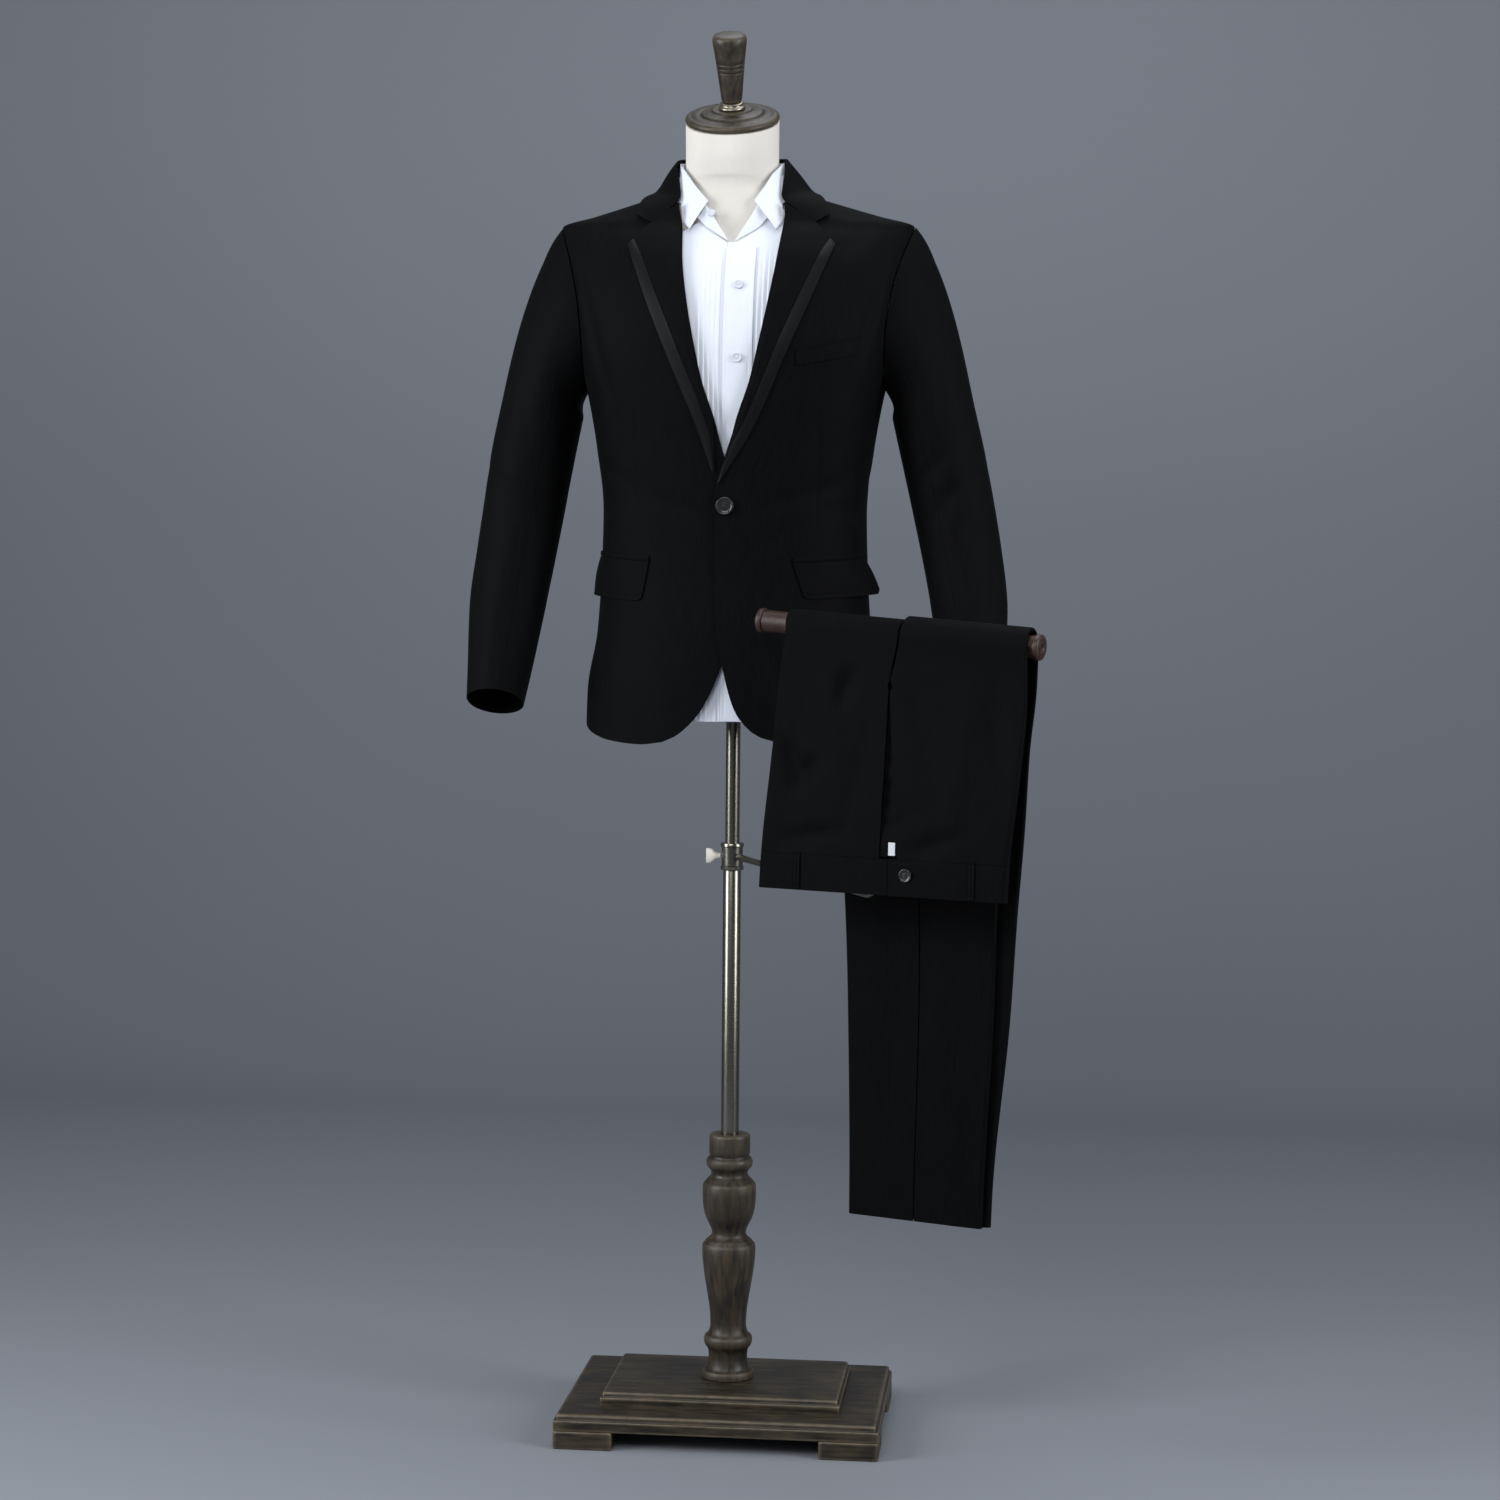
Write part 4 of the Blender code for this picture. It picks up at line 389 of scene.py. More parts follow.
# How far the shirt's outside and the form's linen lie inside the jacket: height, shirt, form
LAYER_DEPTHS = (
    (0.850, 0.0100, 0.0280),
    (1.000, 0.0075, 0.0260),
    (1.150, 0.0070, 0.0240),
    (1.226, 0.0072, 0.0220),
    (1.285, 0.0064, 0.0200),
    (1.343, 0.0058, 0.0180),
    (1.400, 0.0052, 0.0150),
    (1.450, 0.0048, 0.0120),
    (1.480, 0.0048, 0.0105),
    (1.530, 0.0048, 0.0098),
    (1.560, 0.0046, 0.0084),
    (1.680, 0.0046, 0.0072),
)
FORM_BOTTOM, NECK_FOOT, NECK_TOP, NECK_TILT = 0.935, 1.55, 1.628, math.radians(24.0)


def through(table, at):
    """The other columns of a table at given values of its first: a cubic between rows that never overshoots."""
    rows, at = np.asarray(table, float), np.asarray(at, float)
    keys, values = rows[:, 0], rows[:, 1:]
    rise = np.diff(values, axis=0) / np.diff(keys)[:, None]
    slope = np.zeros_like(values)
    product, total = rise[1:] * rise[:-1], rise[1:] + rise[:-1]
    slope[1:-1] = np.where(product > 0, 2 * product / np.where(product > 0, total, 1.0), 0.0)
    slope[0], slope[-1] = rise[0], rise[-1]
    i = np.clip(np.searchsorted(keys, at, side="right") - 1, 0, len(keys) - 2)
    span = (keys[i + 1] - keys[i])[..., None]
    t = np.clip((at - keys[i])[..., None] / span, 0.0, 1.0)
    low, high = (1 + 2 * t) * (1 - t) ** 2, t * t * (3 - 2 * t)
    lean = t * (1 - t) ** 2 * slope[i] - t * t * (1 - t) * slope[i + 1]
    return low * values[i] + high * values[i + 1] + lean * span


def smooth(t):
    """0 to 1 with level ends: 3t squared minus 2t cubed."""
    t = np.clip(t, 0.0, 1.0)
    return t * t * (3 - 2 * t)


def body_surface(angle, height):
    """The body's point at an angle in degrees and a height: x = a sin^(2/n), y = middle - b cos^(2/n)."""
    ring = through(BODY_RINGS, height)
    a, b, middle, n = (ring[..., i] for i in range(4))
    side, front = np.sin(np.radians(angle)), np.cos(np.radians(angle))
    x = a * np.sign(side) * np.abs(side) ** (2 / n) - NECK_LEAN * smooth((height - LEAN_FOOT) / LEAN_RISE)
    return np.stack([x, middle - b * np.sign(front) * np.abs(front) ** (2 / n), height + 0 * x], -1)


def on_body(angle, height, out):
    """The body's point moved out along the surface's normal."""
    angle, height = np.broadcast_arrays(np.asarray(angle, float), np.asarray(height, float))
    across = body_surface(angle + TURN_STEP, height) - body_surface(angle - TURN_STEP, height)
    up = body_surface(angle, height + RISE_STEP) - body_surface(angle, height - RISE_STEP)
    return body_surface(angle, height) + np.asarray(out)[..., None] * direction(np.cross(across, up))


def layer_depth(height, layer):
    """How far the shirt (0) or the form (1) lies inside the jacket at a height."""
    return through(LAYER_DEPTHS, height)[..., layer]


def grid(u, v):
    """Two arrays of a grid from its column and row values."""
    return np.meshgrid(np.asarray(u, float), np.asarray(v, float))


def cloth_uv(points):
    """Lengths in metres across and along a grid of points, as the cloth's own map."""
    across = np.linalg.norm(np.diff(points, axis=1), axis=-1).cumsum(1)
    along = np.linalg.norm(np.diff(points, axis=0), axis=-1).cumsum(0)
    across = np.hstack([np.zeros((len(points), 1)), across])
    along = np.vstack([np.zeros((1, points.shape[1])), along])
    return np.stack([across, along], -1).reshape(-1, 2)


def woven(name, dark, light, thread, rough, bump, slub, lean=0.0, **sockets):
    """A woven cloth: crossing ribs of warp and weft at a thread spacing, lying at an angle, over slubby colour.

    Real threads are 0.2 to 0.4 mm apart; the spacing given is two to four times that, so that it shows.
    """
    made, tree = finish(name, **sockets)
    place = add(tree, "UVMap", {}, uv_map="cloth").outputs[0]
    laid_on = add(tree, "Mapping", {"Vector": place, "Rotation": (0.0, 0.0, lean)}).outputs[0]
    ribs = {"Vector": laid_on, "Scale": 0.314 / thread, "Distortion": 0.6, "Detail": 1.0, "Detail Scale": 2.0}
    warp, weft = (add(tree, "TexWave", ribs, bands_direction=way).outputs["Fac"] for way in ("X", "Y"))
    weave = add(tree, "Math", {0: warp, 1: weft}, operation="MAXIMUM" if lean else "MULTIPLY").outputs[0]
    drawn = add(tree, "Mapping", {"Vector": place, "Scale": (1.0, 0.14, 1.0)}).outputs[0]
    thick = noise(tree, drawn, slub, 3.0)
    mix = add(tree, "Math", {0: weave, 1: thick}, operation="MULTIPLY").outputs[0]
    colour = mixed(tree, spread(tree, mix, 0.0, 1.0, 0.05, 0.6), linear(dark), linear(light))
    return surfaced(made, colour, spread(tree, thick, rough - 0.06, rough + 0.06), mix, bump, 0.0004)


linen = woven("unbleached_linen", "#d5d1c9", "#e6e3dd", 0.0012, 0.86, 0.35, 420.0, Sheen_Weight=0.1)
form_rows = np.concatenate([
    np.linspace(FORM_BOTTOM, 1.48, 46), np.linspace(1.487, 1.56, 22), np.linspace(1.568, NECK_TOP, 12)])
angle, height = grid(np.linspace(180, 540, 97)[:-1], form_rows)
form_points = on_body(angle, height, -layer_depth(height, 1))
form_points[..., 2] += smooth((height - NECK_FOOT) / (NECK_TOP - NECK_FOOT)) * math.tan(NECK_TILT) * form_points[..., 1]
form_points[0, :, 2] = FORM_BOTTOM
neck_middle = form_points[-1].mean(0)
torso = put_in("linen_torso", form_points, ring_faces(*height.shape), linen, "dress_form", "natural_linen",
               cloth_uv(form_points))

# Neck cap and finial: turned beech, stained like the base. The cap is a moulded disc screwed to the sloping neck;
# the tapering grooved handle stands on it in a brass-toned metal collar of two beads.

CAP_PROFILE = mm(
    (53, 0), (56.2, 0.4), (57.6, 1.6), (58.4, 3.4), (58.5, 5), (57.8, 6.6), (56.4, 8), (54.5, 9), (52, 9.5),
    (50.5, 9.2), (49.8, 9.6), (45, 10.3), (40.5, 10.6), (39.6, 10.1), (38.8, 10.6), (38, 12.2), (36.6, 12.8),
    (30, 13.7), (25.6, 14.1), (24.8, 14.8), (24, 16),
)
HANDLE_PROFILE = mm(
    (9.2, 8.8), (11, 9.2), (12.4, 10.6), (12.9, 13), (13.3, 17), (14.1, 24), (14.9, 31.5), (15.7, 39), (16.4, 45.2),
    (16.5, 46.2), (16.2, 46.7), (16.6, 47.3), (17, 50.6), (17.1, 51.6), (16.8, 52.1), (17.2, 52.7), (17.6, 56),
    (17.7, 57), (17.4, 57.5), (17.8, 58.1), (18.6, 64), (19.6, 72), (20.6, 79), (21.1, 83), (21.1, 86.2),
    (20.4, 89.2), (18.5, 91.2), (15, 92.4), (8, 93),
)
COLLAR_BEADS = mm(
    (14, 0), (15.8, 0.4), (16.5, 1.6), (16.4, 2.8), (15.2, 3.8), (13.8, 4.6), (13.6, 5.4), (14.4, 6.2), (14.8, 7),
    (14.2, 8), (12, 8.8),
)
neck_axis = np.array((0.0, -math.sin(NECK_TILT), math.cos(NECK_TILT)))
cap_place = neck_middle + CLEARANCE * neck_axis
turned("cap_disc", cap_place, neck_axis, CAP_PROFILE, 72, turned_wood, "neck_cap", "dark_wood")
handle_place = cap_place + (CAP_PROFILE[-1, 1] + CLEARANCE) * neck_axis
turned("cap_handle", handle_place, neck_axis, HANDLE_PROFILE, 56, turned_wood, "finial", "dark_wood")
bead_metal = brushed_steel("aged_nickel_collar", "#a39c8c", 0.34)
turned("handle_collar", handle_place, neck_axis, COLLAR_BEADS, 48, bead_metal, None, "brushed_steel")

# Shirt back: one piece of white cotton poplin round the back of the form, joined to the fronts at the sides and
# to the collar stand at the neck. It lies under the jacket, and only its hem shows.

SHIRT_HEM, SHIRT_WALL = 0.895, 0.0012
BACK_NECK, BACK_RISE, SEAM, LAID = 1.553, 1.288, 0.0003, 0.0006


def closed_wall(name, outer, inner, material, replaced, slot):
    """A cloth piece: the outer and inner grids of points joined round their edge, with lengths as its map."""
    rows, columns = outer.shape[:2]
    count = rows * columns
    index = np.arange(count).reshape(rows, columns)
    quads = np.stack([index[:-1, :-1], index[:-1, 1:], index[1:, 1:], index[1:, :-1]], -1).reshape(-1, 4)
    edge = np.concatenate([index[0], index[1:, -1], index[-1, -2::-1], index[-2:0:-1, 0]])
    after = np.roll(edge, -1)
    rim = np.stack([after, edge, edge + count, after + count], -1)
    faces = np.concatenate([quads, quads[:, ::-1] + count, rim])
    points = np.concatenate([outer.reshape(-1, 3), inner.reshape(-1, 3)])
    corners = points[faces]
    fans = np.linalg.det(corners[:, (0, 1, 2)]).sum() + np.linalg.det(corners[:, (0, 2, 3)]).sum()
    faces = faces if fans > 0 else faces[:, ::-1]
    return put_in(name, points, faces.tolist(), material, replaced, slot, np.tile(cloth_uv(outer), (2, 1)))


def on_layers(angle, height, outer, inner):
    """The body's points at two distances out, as the outer and the inner face of a cloth."""
    return on_body(angle, height, outer), on_body(angle, height, inner)


def bell(x, width):
    """1 at 0, falling off on both sides: e to the minus square of x over width."""
    return np.exp(-((x / width) ** 2))


poplin = woven("white_cotton_poplin", "#d3d9e4", "#e3e7ef", 0.0008, 0.78, 0.12, 300.0, Sheen_Weight=0.06)
u, v = grid(unit(61), unit(70))
top = BACK_RISE + (BACK_NECK - 0.004 - BACK_RISE) * np.sin(np.pi * u) ** 0.6
height = SHIRT_HEM + (top - SHIRT_HEM) * v
angle = 90.05 + 179.9 * u
hang = 0.0012 * np.sin(np.radians(angle * 9)) * smooth((1.05 - height) / 0.12) - layer_depth(height, 0)
shells = on_layers(angle, height, hang, hang - SHIRT_WALL)
shirt_back = closed_wall("poplin_back", *shells, poplin, "shirt_back", "white_cotton")

# Shirt fronts: poplin with five narrow tucks pressed towards each side of the buttoned placket, ironed flat and
# stitched down, open at the neck.

SHIRT_OPENING, PLACKET_WIDTH, STITCH_PITCH = 0.0135, 0.036, 0.0035
TUCKS, TUCK_PITCH, TUCK_HEIGHT, TUCK_END = 5, 0.0062, 0.0008, 1.43
# One tuck's height over its pitch, both in shares
TUCK_SECTION = (0.0, 0.12, 0.22, 0.85, 1.0), (0.0, 0.85, 1.0, 0.12, 0.0)
# The fronts are cut level up to this height, and from it up to the neckline
SIDE_RISE, SIDE_TOP = 1.290, 1.474
SHIRT_NECKLINE = ((0.0, 0.006, 1.4790), (0.35, 0.030, 1.4970), (0.7, 0.057, 1.5150), (1.0, 0.0735, 1.5250))


def angle_at(x, height):
    """The angle of the body's front point at a distance x from the centre line."""
    ring = through(BODY_RINGS, height)
    share = np.clip(np.abs(x) / ring[..., 0], 0.0, 1.0)
    return np.sign(x) * np.degrees(np.arcsin(share ** (ring[..., 3] / 2)))


def shirt_front(label, side, opening):
    """A front from the placket to the side seam: tucks are saw-toothed ridges, one each pitch, fading at the neck."""
    first = PLACKET_WIDTH / 2 + 0.004 + SHIRT_OPENING * side
    step = unit(11)[:-1]
    pleated = (first + (np.arange(TUCKS)[:, None] + step) * TUCK_PITCH).ravel()
    reach = np.concatenate([np.linspace(opening, first, 8)[:-1], pleated, [first + TUCKS * TUCK_PITCH]])
    ridge = np.zeros(len(reach))
    ridge[7:-1] = np.tile(np.interp(step, *TUCK_SECTION), TUCKS)
    rows = np.linspace(SHIRT_HEM, SIDE_TOP, 96)[:, None]
    top = through(SHIRT_NECKLINE, np.clip((reach - 0.006) / 0.0675, 0.0, 1.0))[..., 1] - SEAM
    share = np.clip((rows - SIDE_RISE) / (SIDE_TOP - SIDE_RISE), 0.0, 1.0)
    height = np.where(share > 0, SIDE_RISE + (top - SIDE_RISE) * share, rows)
    angle = angle_at(reach + 0 * height, height)
    end = np.stack([89.95 + 0 * share, np.minimum(rows, SIDE_RISE + 0.004 * share)], -1)
    last = np.stack([angle[:, -1:], height[:, -1:]], -1)
    rest = last + (end - last) * (unit(41)[1:, None] ** 1.3)
    angle, height = np.hstack([angle, rest[..., 0]]), np.hstack([height, rest[..., 1]])
    bump = TUCK_HEIGHT * np.concatenate([ridge, np.zeros(40)]) * (1 - smooth((height - TUCK_END) / 0.05))
    hang = 0.0012 * np.sin(np.radians(angle * 7)) * smooth((1.03 - height) / 0.12) - layer_depth(height, 0)
    shells = on_layers(side * angle, height, bump + hang, hang - SHIRT_WALL)
    front = closed_wall(f"tucked_front_{label}", *shells, poplin, f"shirt_front_{label}", "white_cotton")


shirt_front("left", 1, -0.0045)
shirt_front("right", -1, 0.0049)

# Placket: a folded poplin strip down the middle, stitched 5 mm in from each edge, with pearl buttons on it.

u, height = grid(np.linspace(-0.5, 0.5, 41), np.linspace(SHIRT_HEM + 0.0005, 1.471, 150))
angle = angle_at(SHIRT_OPENING + PLACKET_WIDTH * u, height)
stitches = 0.6 + 0.4 * np.sign(np.sin(height * 2 * math.pi / STITCH_PITCH))
low = LAID + SEAM - layer_depth(height, 0)
shells = on_layers(angle, height, low + 0.001 - 0.00035 * bell(np.abs(u) - 0.36, 0.03) * stitches, low)
placket = closed_wall("buttoned_placket", *shells, poplin, "shirt_placket", "white_cotton")

# Collar stand and leaves: three layers of poplin fused stiff. The stand goes round the neck, and the two pointed
# leaves fold down over it, topstitched 5 mm in from their edges.

SHIRT_STAND = (
    (0.00, 0.4, 1.4790, 7.4, 1.5165),
    (0.25, 5.5, 1.4970, 27.0, 1.5400),
    (0.42, 20.3, 1.5220, 55.8, 1.5620),
    (0.58, 90.0, 1.5490, 87.9, 1.5780),
    (1.00, 180.0, 1.5560, 180.0, 1.5880),
)
SHIRT_LEAF = (
    (0.00, 12.1, 1.5290, 10.2, 1.4932),
    (0.22, 34.8, 1.5460, 15.4, 1.5080),
    (0.42, 53.7, 1.5620, 38.3, 1.5360),
    (0.58, 87.9, 1.5790, 84.0, 1.5560),
    (1.00, 180.0, 1.5890, 180.0, 1.5650),
)
fused_poplin = woven("fused_collar_poplin", "#d3d9e3", "#e3e7ee", 0.0008, 0.7, 0.1, 300.0, Sheen_Weight=0.05)


def spanned(table, keys, low_out, high_out, sides, count, columns):
    """A band between two lines of the body: points on both at some shares, joined by smooth curves in space.

    sides is (1,) or (-1,) for one half, or (1, -1) for both halves as one band round the back.
    """
    rows, at = through(table, keys), np.asarray(keys, float)
    edges = []
    for column, out in ((0, low_out), (2, high_out)):
        halves = [on_body(side * rows[:, column], rows[:, column + 1], out + 0 * at) for side in sides]
        points = halves[0] if len(sides) == 1 else np.concatenate([halves[0], halves[1][-2::-1]])
        places = at if len(sides) == 1 else np.concatenate([at, 2 - at[-2::-1]])
        share = np.linspace(places[0], places[-1], count)
        edges.append(through(np.column_stack([places, points]), share))
    across = unit(columns)[None, :, None]
    return edges[0][:, None] * (1 - across) + edges[1][:, None] * across, share[:, None], across[..., 0]


def off_face(points, out):
    """A grid of points moved along its own normals, those that point away from the neck."""
    normal = direction(np.cross(np.gradient(points, axis=0), np.gradient(points, axis=1)))
    away = points[..., :2] - np.array((-NECK_LEAN, 0.010))
    normal *= np.sign((normal[..., :2] * away).sum(-1).mean())
    return points + np.broadcast_to(out, points.shape[:2])[..., None] * normal


COLLAR_KEYS = (0.0, 0.14, 0.30, 0.45, 0.55, 0.65, 0.72, 0.79, 0.86, 0.93, 1.0)
STAND_KEYS = (0.0, 0.25, 0.42, 0.5, 0.58, 0.65, 0.72, 0.79, 0.86, 0.93, 1.0)
LEAF_KEYS = (0.0, 0.22, 0.42, 0.58, 0.65, 0.72, 0.79, 0.86, 0.93, 1.0)
band, share, across = spanned(SHIRT_STAND, STAND_KEYS, -0.0026, -0.0043, (1, -1), 151, 17)
shells = band, off_face(band, -0.0008)
shirt_stand = closed_wall("shirt_collar_stand", *shells, fused_poplin, "shirt_stand", "white_cotton")
for side, label in SIDES:
    band, share, across = spanned(SHIRT_LEAF, LEAF_KEYS, -0.0014, -0.0022, (side,), 91, 25)
    seam_line = bell((1 - across) * 0.036 - 0.005, 0.0011) + bell(share * 0.19 - 0.005, 0.0016)
    lift = 0.0008 * np.sin(np.pi * across) + 0.0026 * across * (1 - smooth((share - 0.05) / 0.25))
    band = off_face(band, lift)
    shells = off_face(band, -0.0003 * np.clip(seam_line, 0, 1)), off_face(band, -0.0008)
    leaf = closed_wall(f"shirt_collar_{label}", *shells, fused_poplin, f"shirt_leaf_{label}", "white_cotton")

# Shirt buttons: 11 mm pearl buttons with a raised rim and four holes, sewn on with crossed white thread.

BUTTON_PROFILE = np.array((
    (0.90, 0.0), (0.97, 0.15), (1.0, 0.45), (0.98, 0.85), (0.93, 1.0), (0.84, 1.0), (0.76, 0.88), (0.68, 0.74),
    (0.45, 0.72), (0.40, 0.74), (0.02, 0.74)))
pearl = moulded_plastic("pearl_shirt_button", "#c3c8cf", 0.18, 0.12)
white_thread = woven("white_sewing_thread", "#d8dde6", "#eceff5", 0.0006, 0.7, 0.1, 300.0)


def sewn_button(name, base, tip, radius, thickness, material, thread, replaced, slot):
    """A dished button on the cloth, and two crossed stitches that run over its middle."""
    axis = direction(tip - base)
    turned(name, base, axis, BUTTON_PROFILE * (radius, thickness), 40, material, replaced, slot)
    right = direction(np.cross(axis, UP))
    up = np.cross(right, axis)
    t = np.linspace(-1, 1, 9)[:, None]
    turn = np.linspace(0, 2 * math.pi, 9)[:-1, None]
    points, faces = [], []
    for way in (right + up, right - up):
        middle = base + (0.25 * radius * t) * way / 1.414 + (0.72 * thickness + 0.0005 * (1 - t**4) - 0.0002) * axis
        ring = np.cos(turn) * np.cross(axis, way) / 1.414 + np.sin(turn) * axis
        faces += [[i + len(points) * 72 for i in face] for face in ring_faces(9, 8)]
        points.append((middle[:, None] + 0.05 * radius * ring).reshape(-1, 3))
    points = np.concatenate(points)
    put_in(name + "_stitches", points, faces, thread, None, slot, points[:, :2])


def front_angle(x, height):
    """The angle of one point of the body's front at a distance x from the centre line."""
    return float(angle_at(np.array(x), np.array(height)))


def on_front(x, height, low, rise=0.001):
    """A button's base and a point above it, at a distance x from the centre line and low off the body."""
    angle = front_angle(x, height)
    return on_body(angle, height, low), on_body(angle, height, low + rise)


for i, height in enumerate((1.422, 1.333, 1.244)):
    low = -float(layer_depth(np.array(height), 0)) + LAID + 3 * SEAM + 0.001
    sewn_button(f"pearl_button_{i + 1}", *on_front(SHIRT_OPENING, height, low), 0.0055, 0.0022, pearl, white_thread,
                f"shirt_button_{i + 1}", "pearl_button")
sewn_button("collar_button", *on_front(-0.0254, 1.5133, 0.0002), 0.0048, 0.0018, pearl, white_thread, None,
            "pearl_button")

# Jacket backs: two panels of worsted wool with a plain centre seam, lined, pressed to the shape of the back. They
# are sewn to the fronts at the sides and shoulders.

JACKET_WALL = 0.0016
ARMHOLE_MIDDLE, ARMHOLE_HALF_HEIGHT = 1.400, 0.100
ARMHOLE_FRONT, ARMHOLE_BACK = 24.0, 31.0
ARMPIT_SHARE, BACK_HEM, SIDE_HEM, SEAM_TOP = 0.60, 0.886, 0.889, 1.546
NECK_SHARE, BACK_WIDTH, SEAM_GROOVE = 0.42, 0.24, 0.0014
SHOULDER_SEAM = ((0.0, SEAM_TOP), (0.21, 1.535), (0.465, 1.524), (0.755, 1.512), (1.0, 1.500))
FRONT_HEM = (
    (0.00, 0.0750, 0.8690),
    (0.14, 0.1020, 0.8655),
    (0.45, 0.1450, 0.8690),
    (0.70, 0.1720, 0.8780),
    (1.00, 0.1816, SIDE_HEM),
)
# Soft troughs of the worn jacket: angle, height, lean in degrees, half length, half width, depth in mm (out is plus)
JACKET_CREASES = (
    (26.0, 1.165, 74.0, 0.045, 0.010, -1.5),
    (-24.0, 1.160, -76.0, 0.050, 0.011, -1.6),
    (20.0, 1.120, 58.0, 0.040, 0.012, -1.4),
    (-21.0, 1.115, -52.0, 0.055, 0.012, -1.5),
    (47.0, 1.180, 80.0, 0.050, 0.013, -1.7),
    (-50.0, 1.190, -82.0, 0.055, 0.012, -1.8),
    (55.0, 1.150, 96.0, 0.045, 0.010, -1.2),
    (-57.0, 1.158, -98.0, 0.040, 0.011, -1.3),
    (52.0, 1.360, 14.0, 0.075, 0.013, -2.2),
    (-53.0, 1.345, -12.0, 0.080, 0.013, -2.3),
    (60.0, 1.400, 6.0, 0.050, 0.010, 1.4),
    (-61.0, 1.392, -7.0, 0.055, 0.010, 1.5),
    (40.0, 1.480, 34.0, 0.050, 0.016, -1.6),
    (-42.0, 1.474, -36.0, 0.045, 0.015, -1.5),
    (14.0, 0.980, 8.0, 0.070, 0.016, -1.5),
    (-33.0, 0.965, -6.0, 0.080, 0.018, -1.7),
    (44.0, 0.930, 10.0, 0.060, 0.018, -1.8),
    (-60.0, 0.950, -4.0, 0.075, 0.016, -1.6),
    (72.0, 0.945, 3.0, 0.080, 0.017, 1.7),
    (-76.0, 0.935, 4.0, 0.070, 0.018, 1.8),
    (112.0, 1.180, -78.0, 0.060, 0.012, -1.9),
    (-108.0, 1.172, 80.0, 0.055, 0.013, -1.8),
    (138.0, 1.215, -66.0, 0.070, 0.014, -1.7),
    (-141.0, 1.225, 62.0, 0.065, 0.014, -1.8),
    (160.0, 1.140, 88.0, 0.060, 0.013, -1.6),
    (-158.0, 1.132, -86.0, 0.065, 0.012, -1.5),
    (125.0, 1.400, -18.0, 0.090, 0.016, -2.4),
    (-126.0, 1.390, 16.0, 0.095, 0.017, -2.3),
    (150.0, 0.960, 5.0, 0.080, 0.020, 1.9),
    (-148.0, 0.955, -6.0, 0.085, 0.019, 1.8),
    (172.0, 1.505, 60.0, 0.050, 0.012, -1.2),
    (-171.0, 1.500, -58.0, 0.045, 0.012, -1.1),
)


def creases(across, along, table):
    """The sum of long soft troughs and ridges: each falls off as a bell along and across its own leaning line."""
    a, h, lean, long, wide, deep = (np.array(column) for column in zip(*table))
    step, rise = across[..., None] - a, along[..., None] - h
    lean = np.radians(lean)
    on_line = step * np.sin(lean) + rise * np.cos(lean)
    off_line = step * np.cos(lean) - rise * np.sin(lean)
    return (deep / 1000 * bell(on_line, long) * bell(off_line, wide)).sum(-1)


def jacket_lift(angle, height):
    """How far the jacket's cloth stands off its plain form: its creases, with degrees taken as 2.9 mm each."""
    angle = (np.asarray(angle, float) + 180.0) % 360.0 - 180.0
    table = [(row[0] * 0.0029, *row[1:]) for row in JACKET_CREASES]
    return creases(angle * 0.0029, np.asarray(height, float), table)


def armhole(turn):
    """Angle and height on the armhole; turn is 0 at the shoulder point, 180 at the armpit, by the front."""
    t = np.radians(turn)
    swing = np.where(np.sin(t) >= 0, ARMHOLE_FRONT, ARMHOLE_BACK)
    return np.stack([90.0 - swing * np.sin(t), ARMHOLE_MIDDLE + ARMHOLE_HALF_HEIGHT * np.cos(t)], -1)


def shoulder_seam(share, side):
    """Angle and height on the shoulder seam, half a gap off it to the front (-1) or back (1)."""
    return np.stack([90.0 + 0.08 * side + 0 * share, through(SHOULDER_SEAM, share)[..., 0]], -1)


def panel_side(share, front):
    """The outer edge of a front or back panel: side seam up to the armpit, then the armhole."""
    below = np.clip(share / ARMPIT_SHARE, 0.0, 1.0)
    above = np.clip((share - ARMPIT_SHARE) / (1 - ARMPIT_SHARE), 0.0, 1.0)
    seam = np.stack([90.0 + 0 * share, SIDE_HEM + (ARMHOLE_MIDDLE - ARMHOLE_HALF_HEIGHT - SIDE_HEM) * below], -1)
    turn = 180.0 - 180.0 * above if front else 180.0 + 180.0 * above
    return np.where((share > ARMPIT_SHARE)[..., None], armhole(turn), seam)


def patch(inner, outer, low, high, u, v):
    """Angles and heights blended between four edge curves; u runs from the inner to the outer edge, v upwards."""
    flat_u, flat_v, foot, head = u, v, np.array(0.0), np.array(1.0)
    u, v = u[..., None], v[..., None]
    corners = (1 - u) * ((1 - v) * inner(foot) + v * inner(head)) + u * ((1 - v) * outer(foot) + v * outer(head))
    sides = (1 - u) * inner(flat_v) + u * outer(flat_v)
    return sides + (1 - v) * low(flat_u) + v * high(flat_u) - corners


def laid_cloth(name, places, low, material, replaced, slot, side=1, groove=0.0):
    """A jacket cloth's thickness above low; creases lift both its faces, a groove only the outer one."""
    angle, height = side * places[..., 0], places[..., 1]
    low = low + jacket_lift(angle, height)
    shells = on_layers(angle, height, low + JACKET_WALL - groove, low)
    return closed_wall(name, *shells, material, replaced, slot)


wool = woven("black_worsted_wool", "#030304", "#0b0c0d", 0.0011, 0.66, 0.22, 260.0, math.radians(45),
             Sheen_Weight=0.016, Sheen_Roughness=0.30, Sheen_Tint=linear("#aab0bd"), Specular_IOR_Level=0.04)


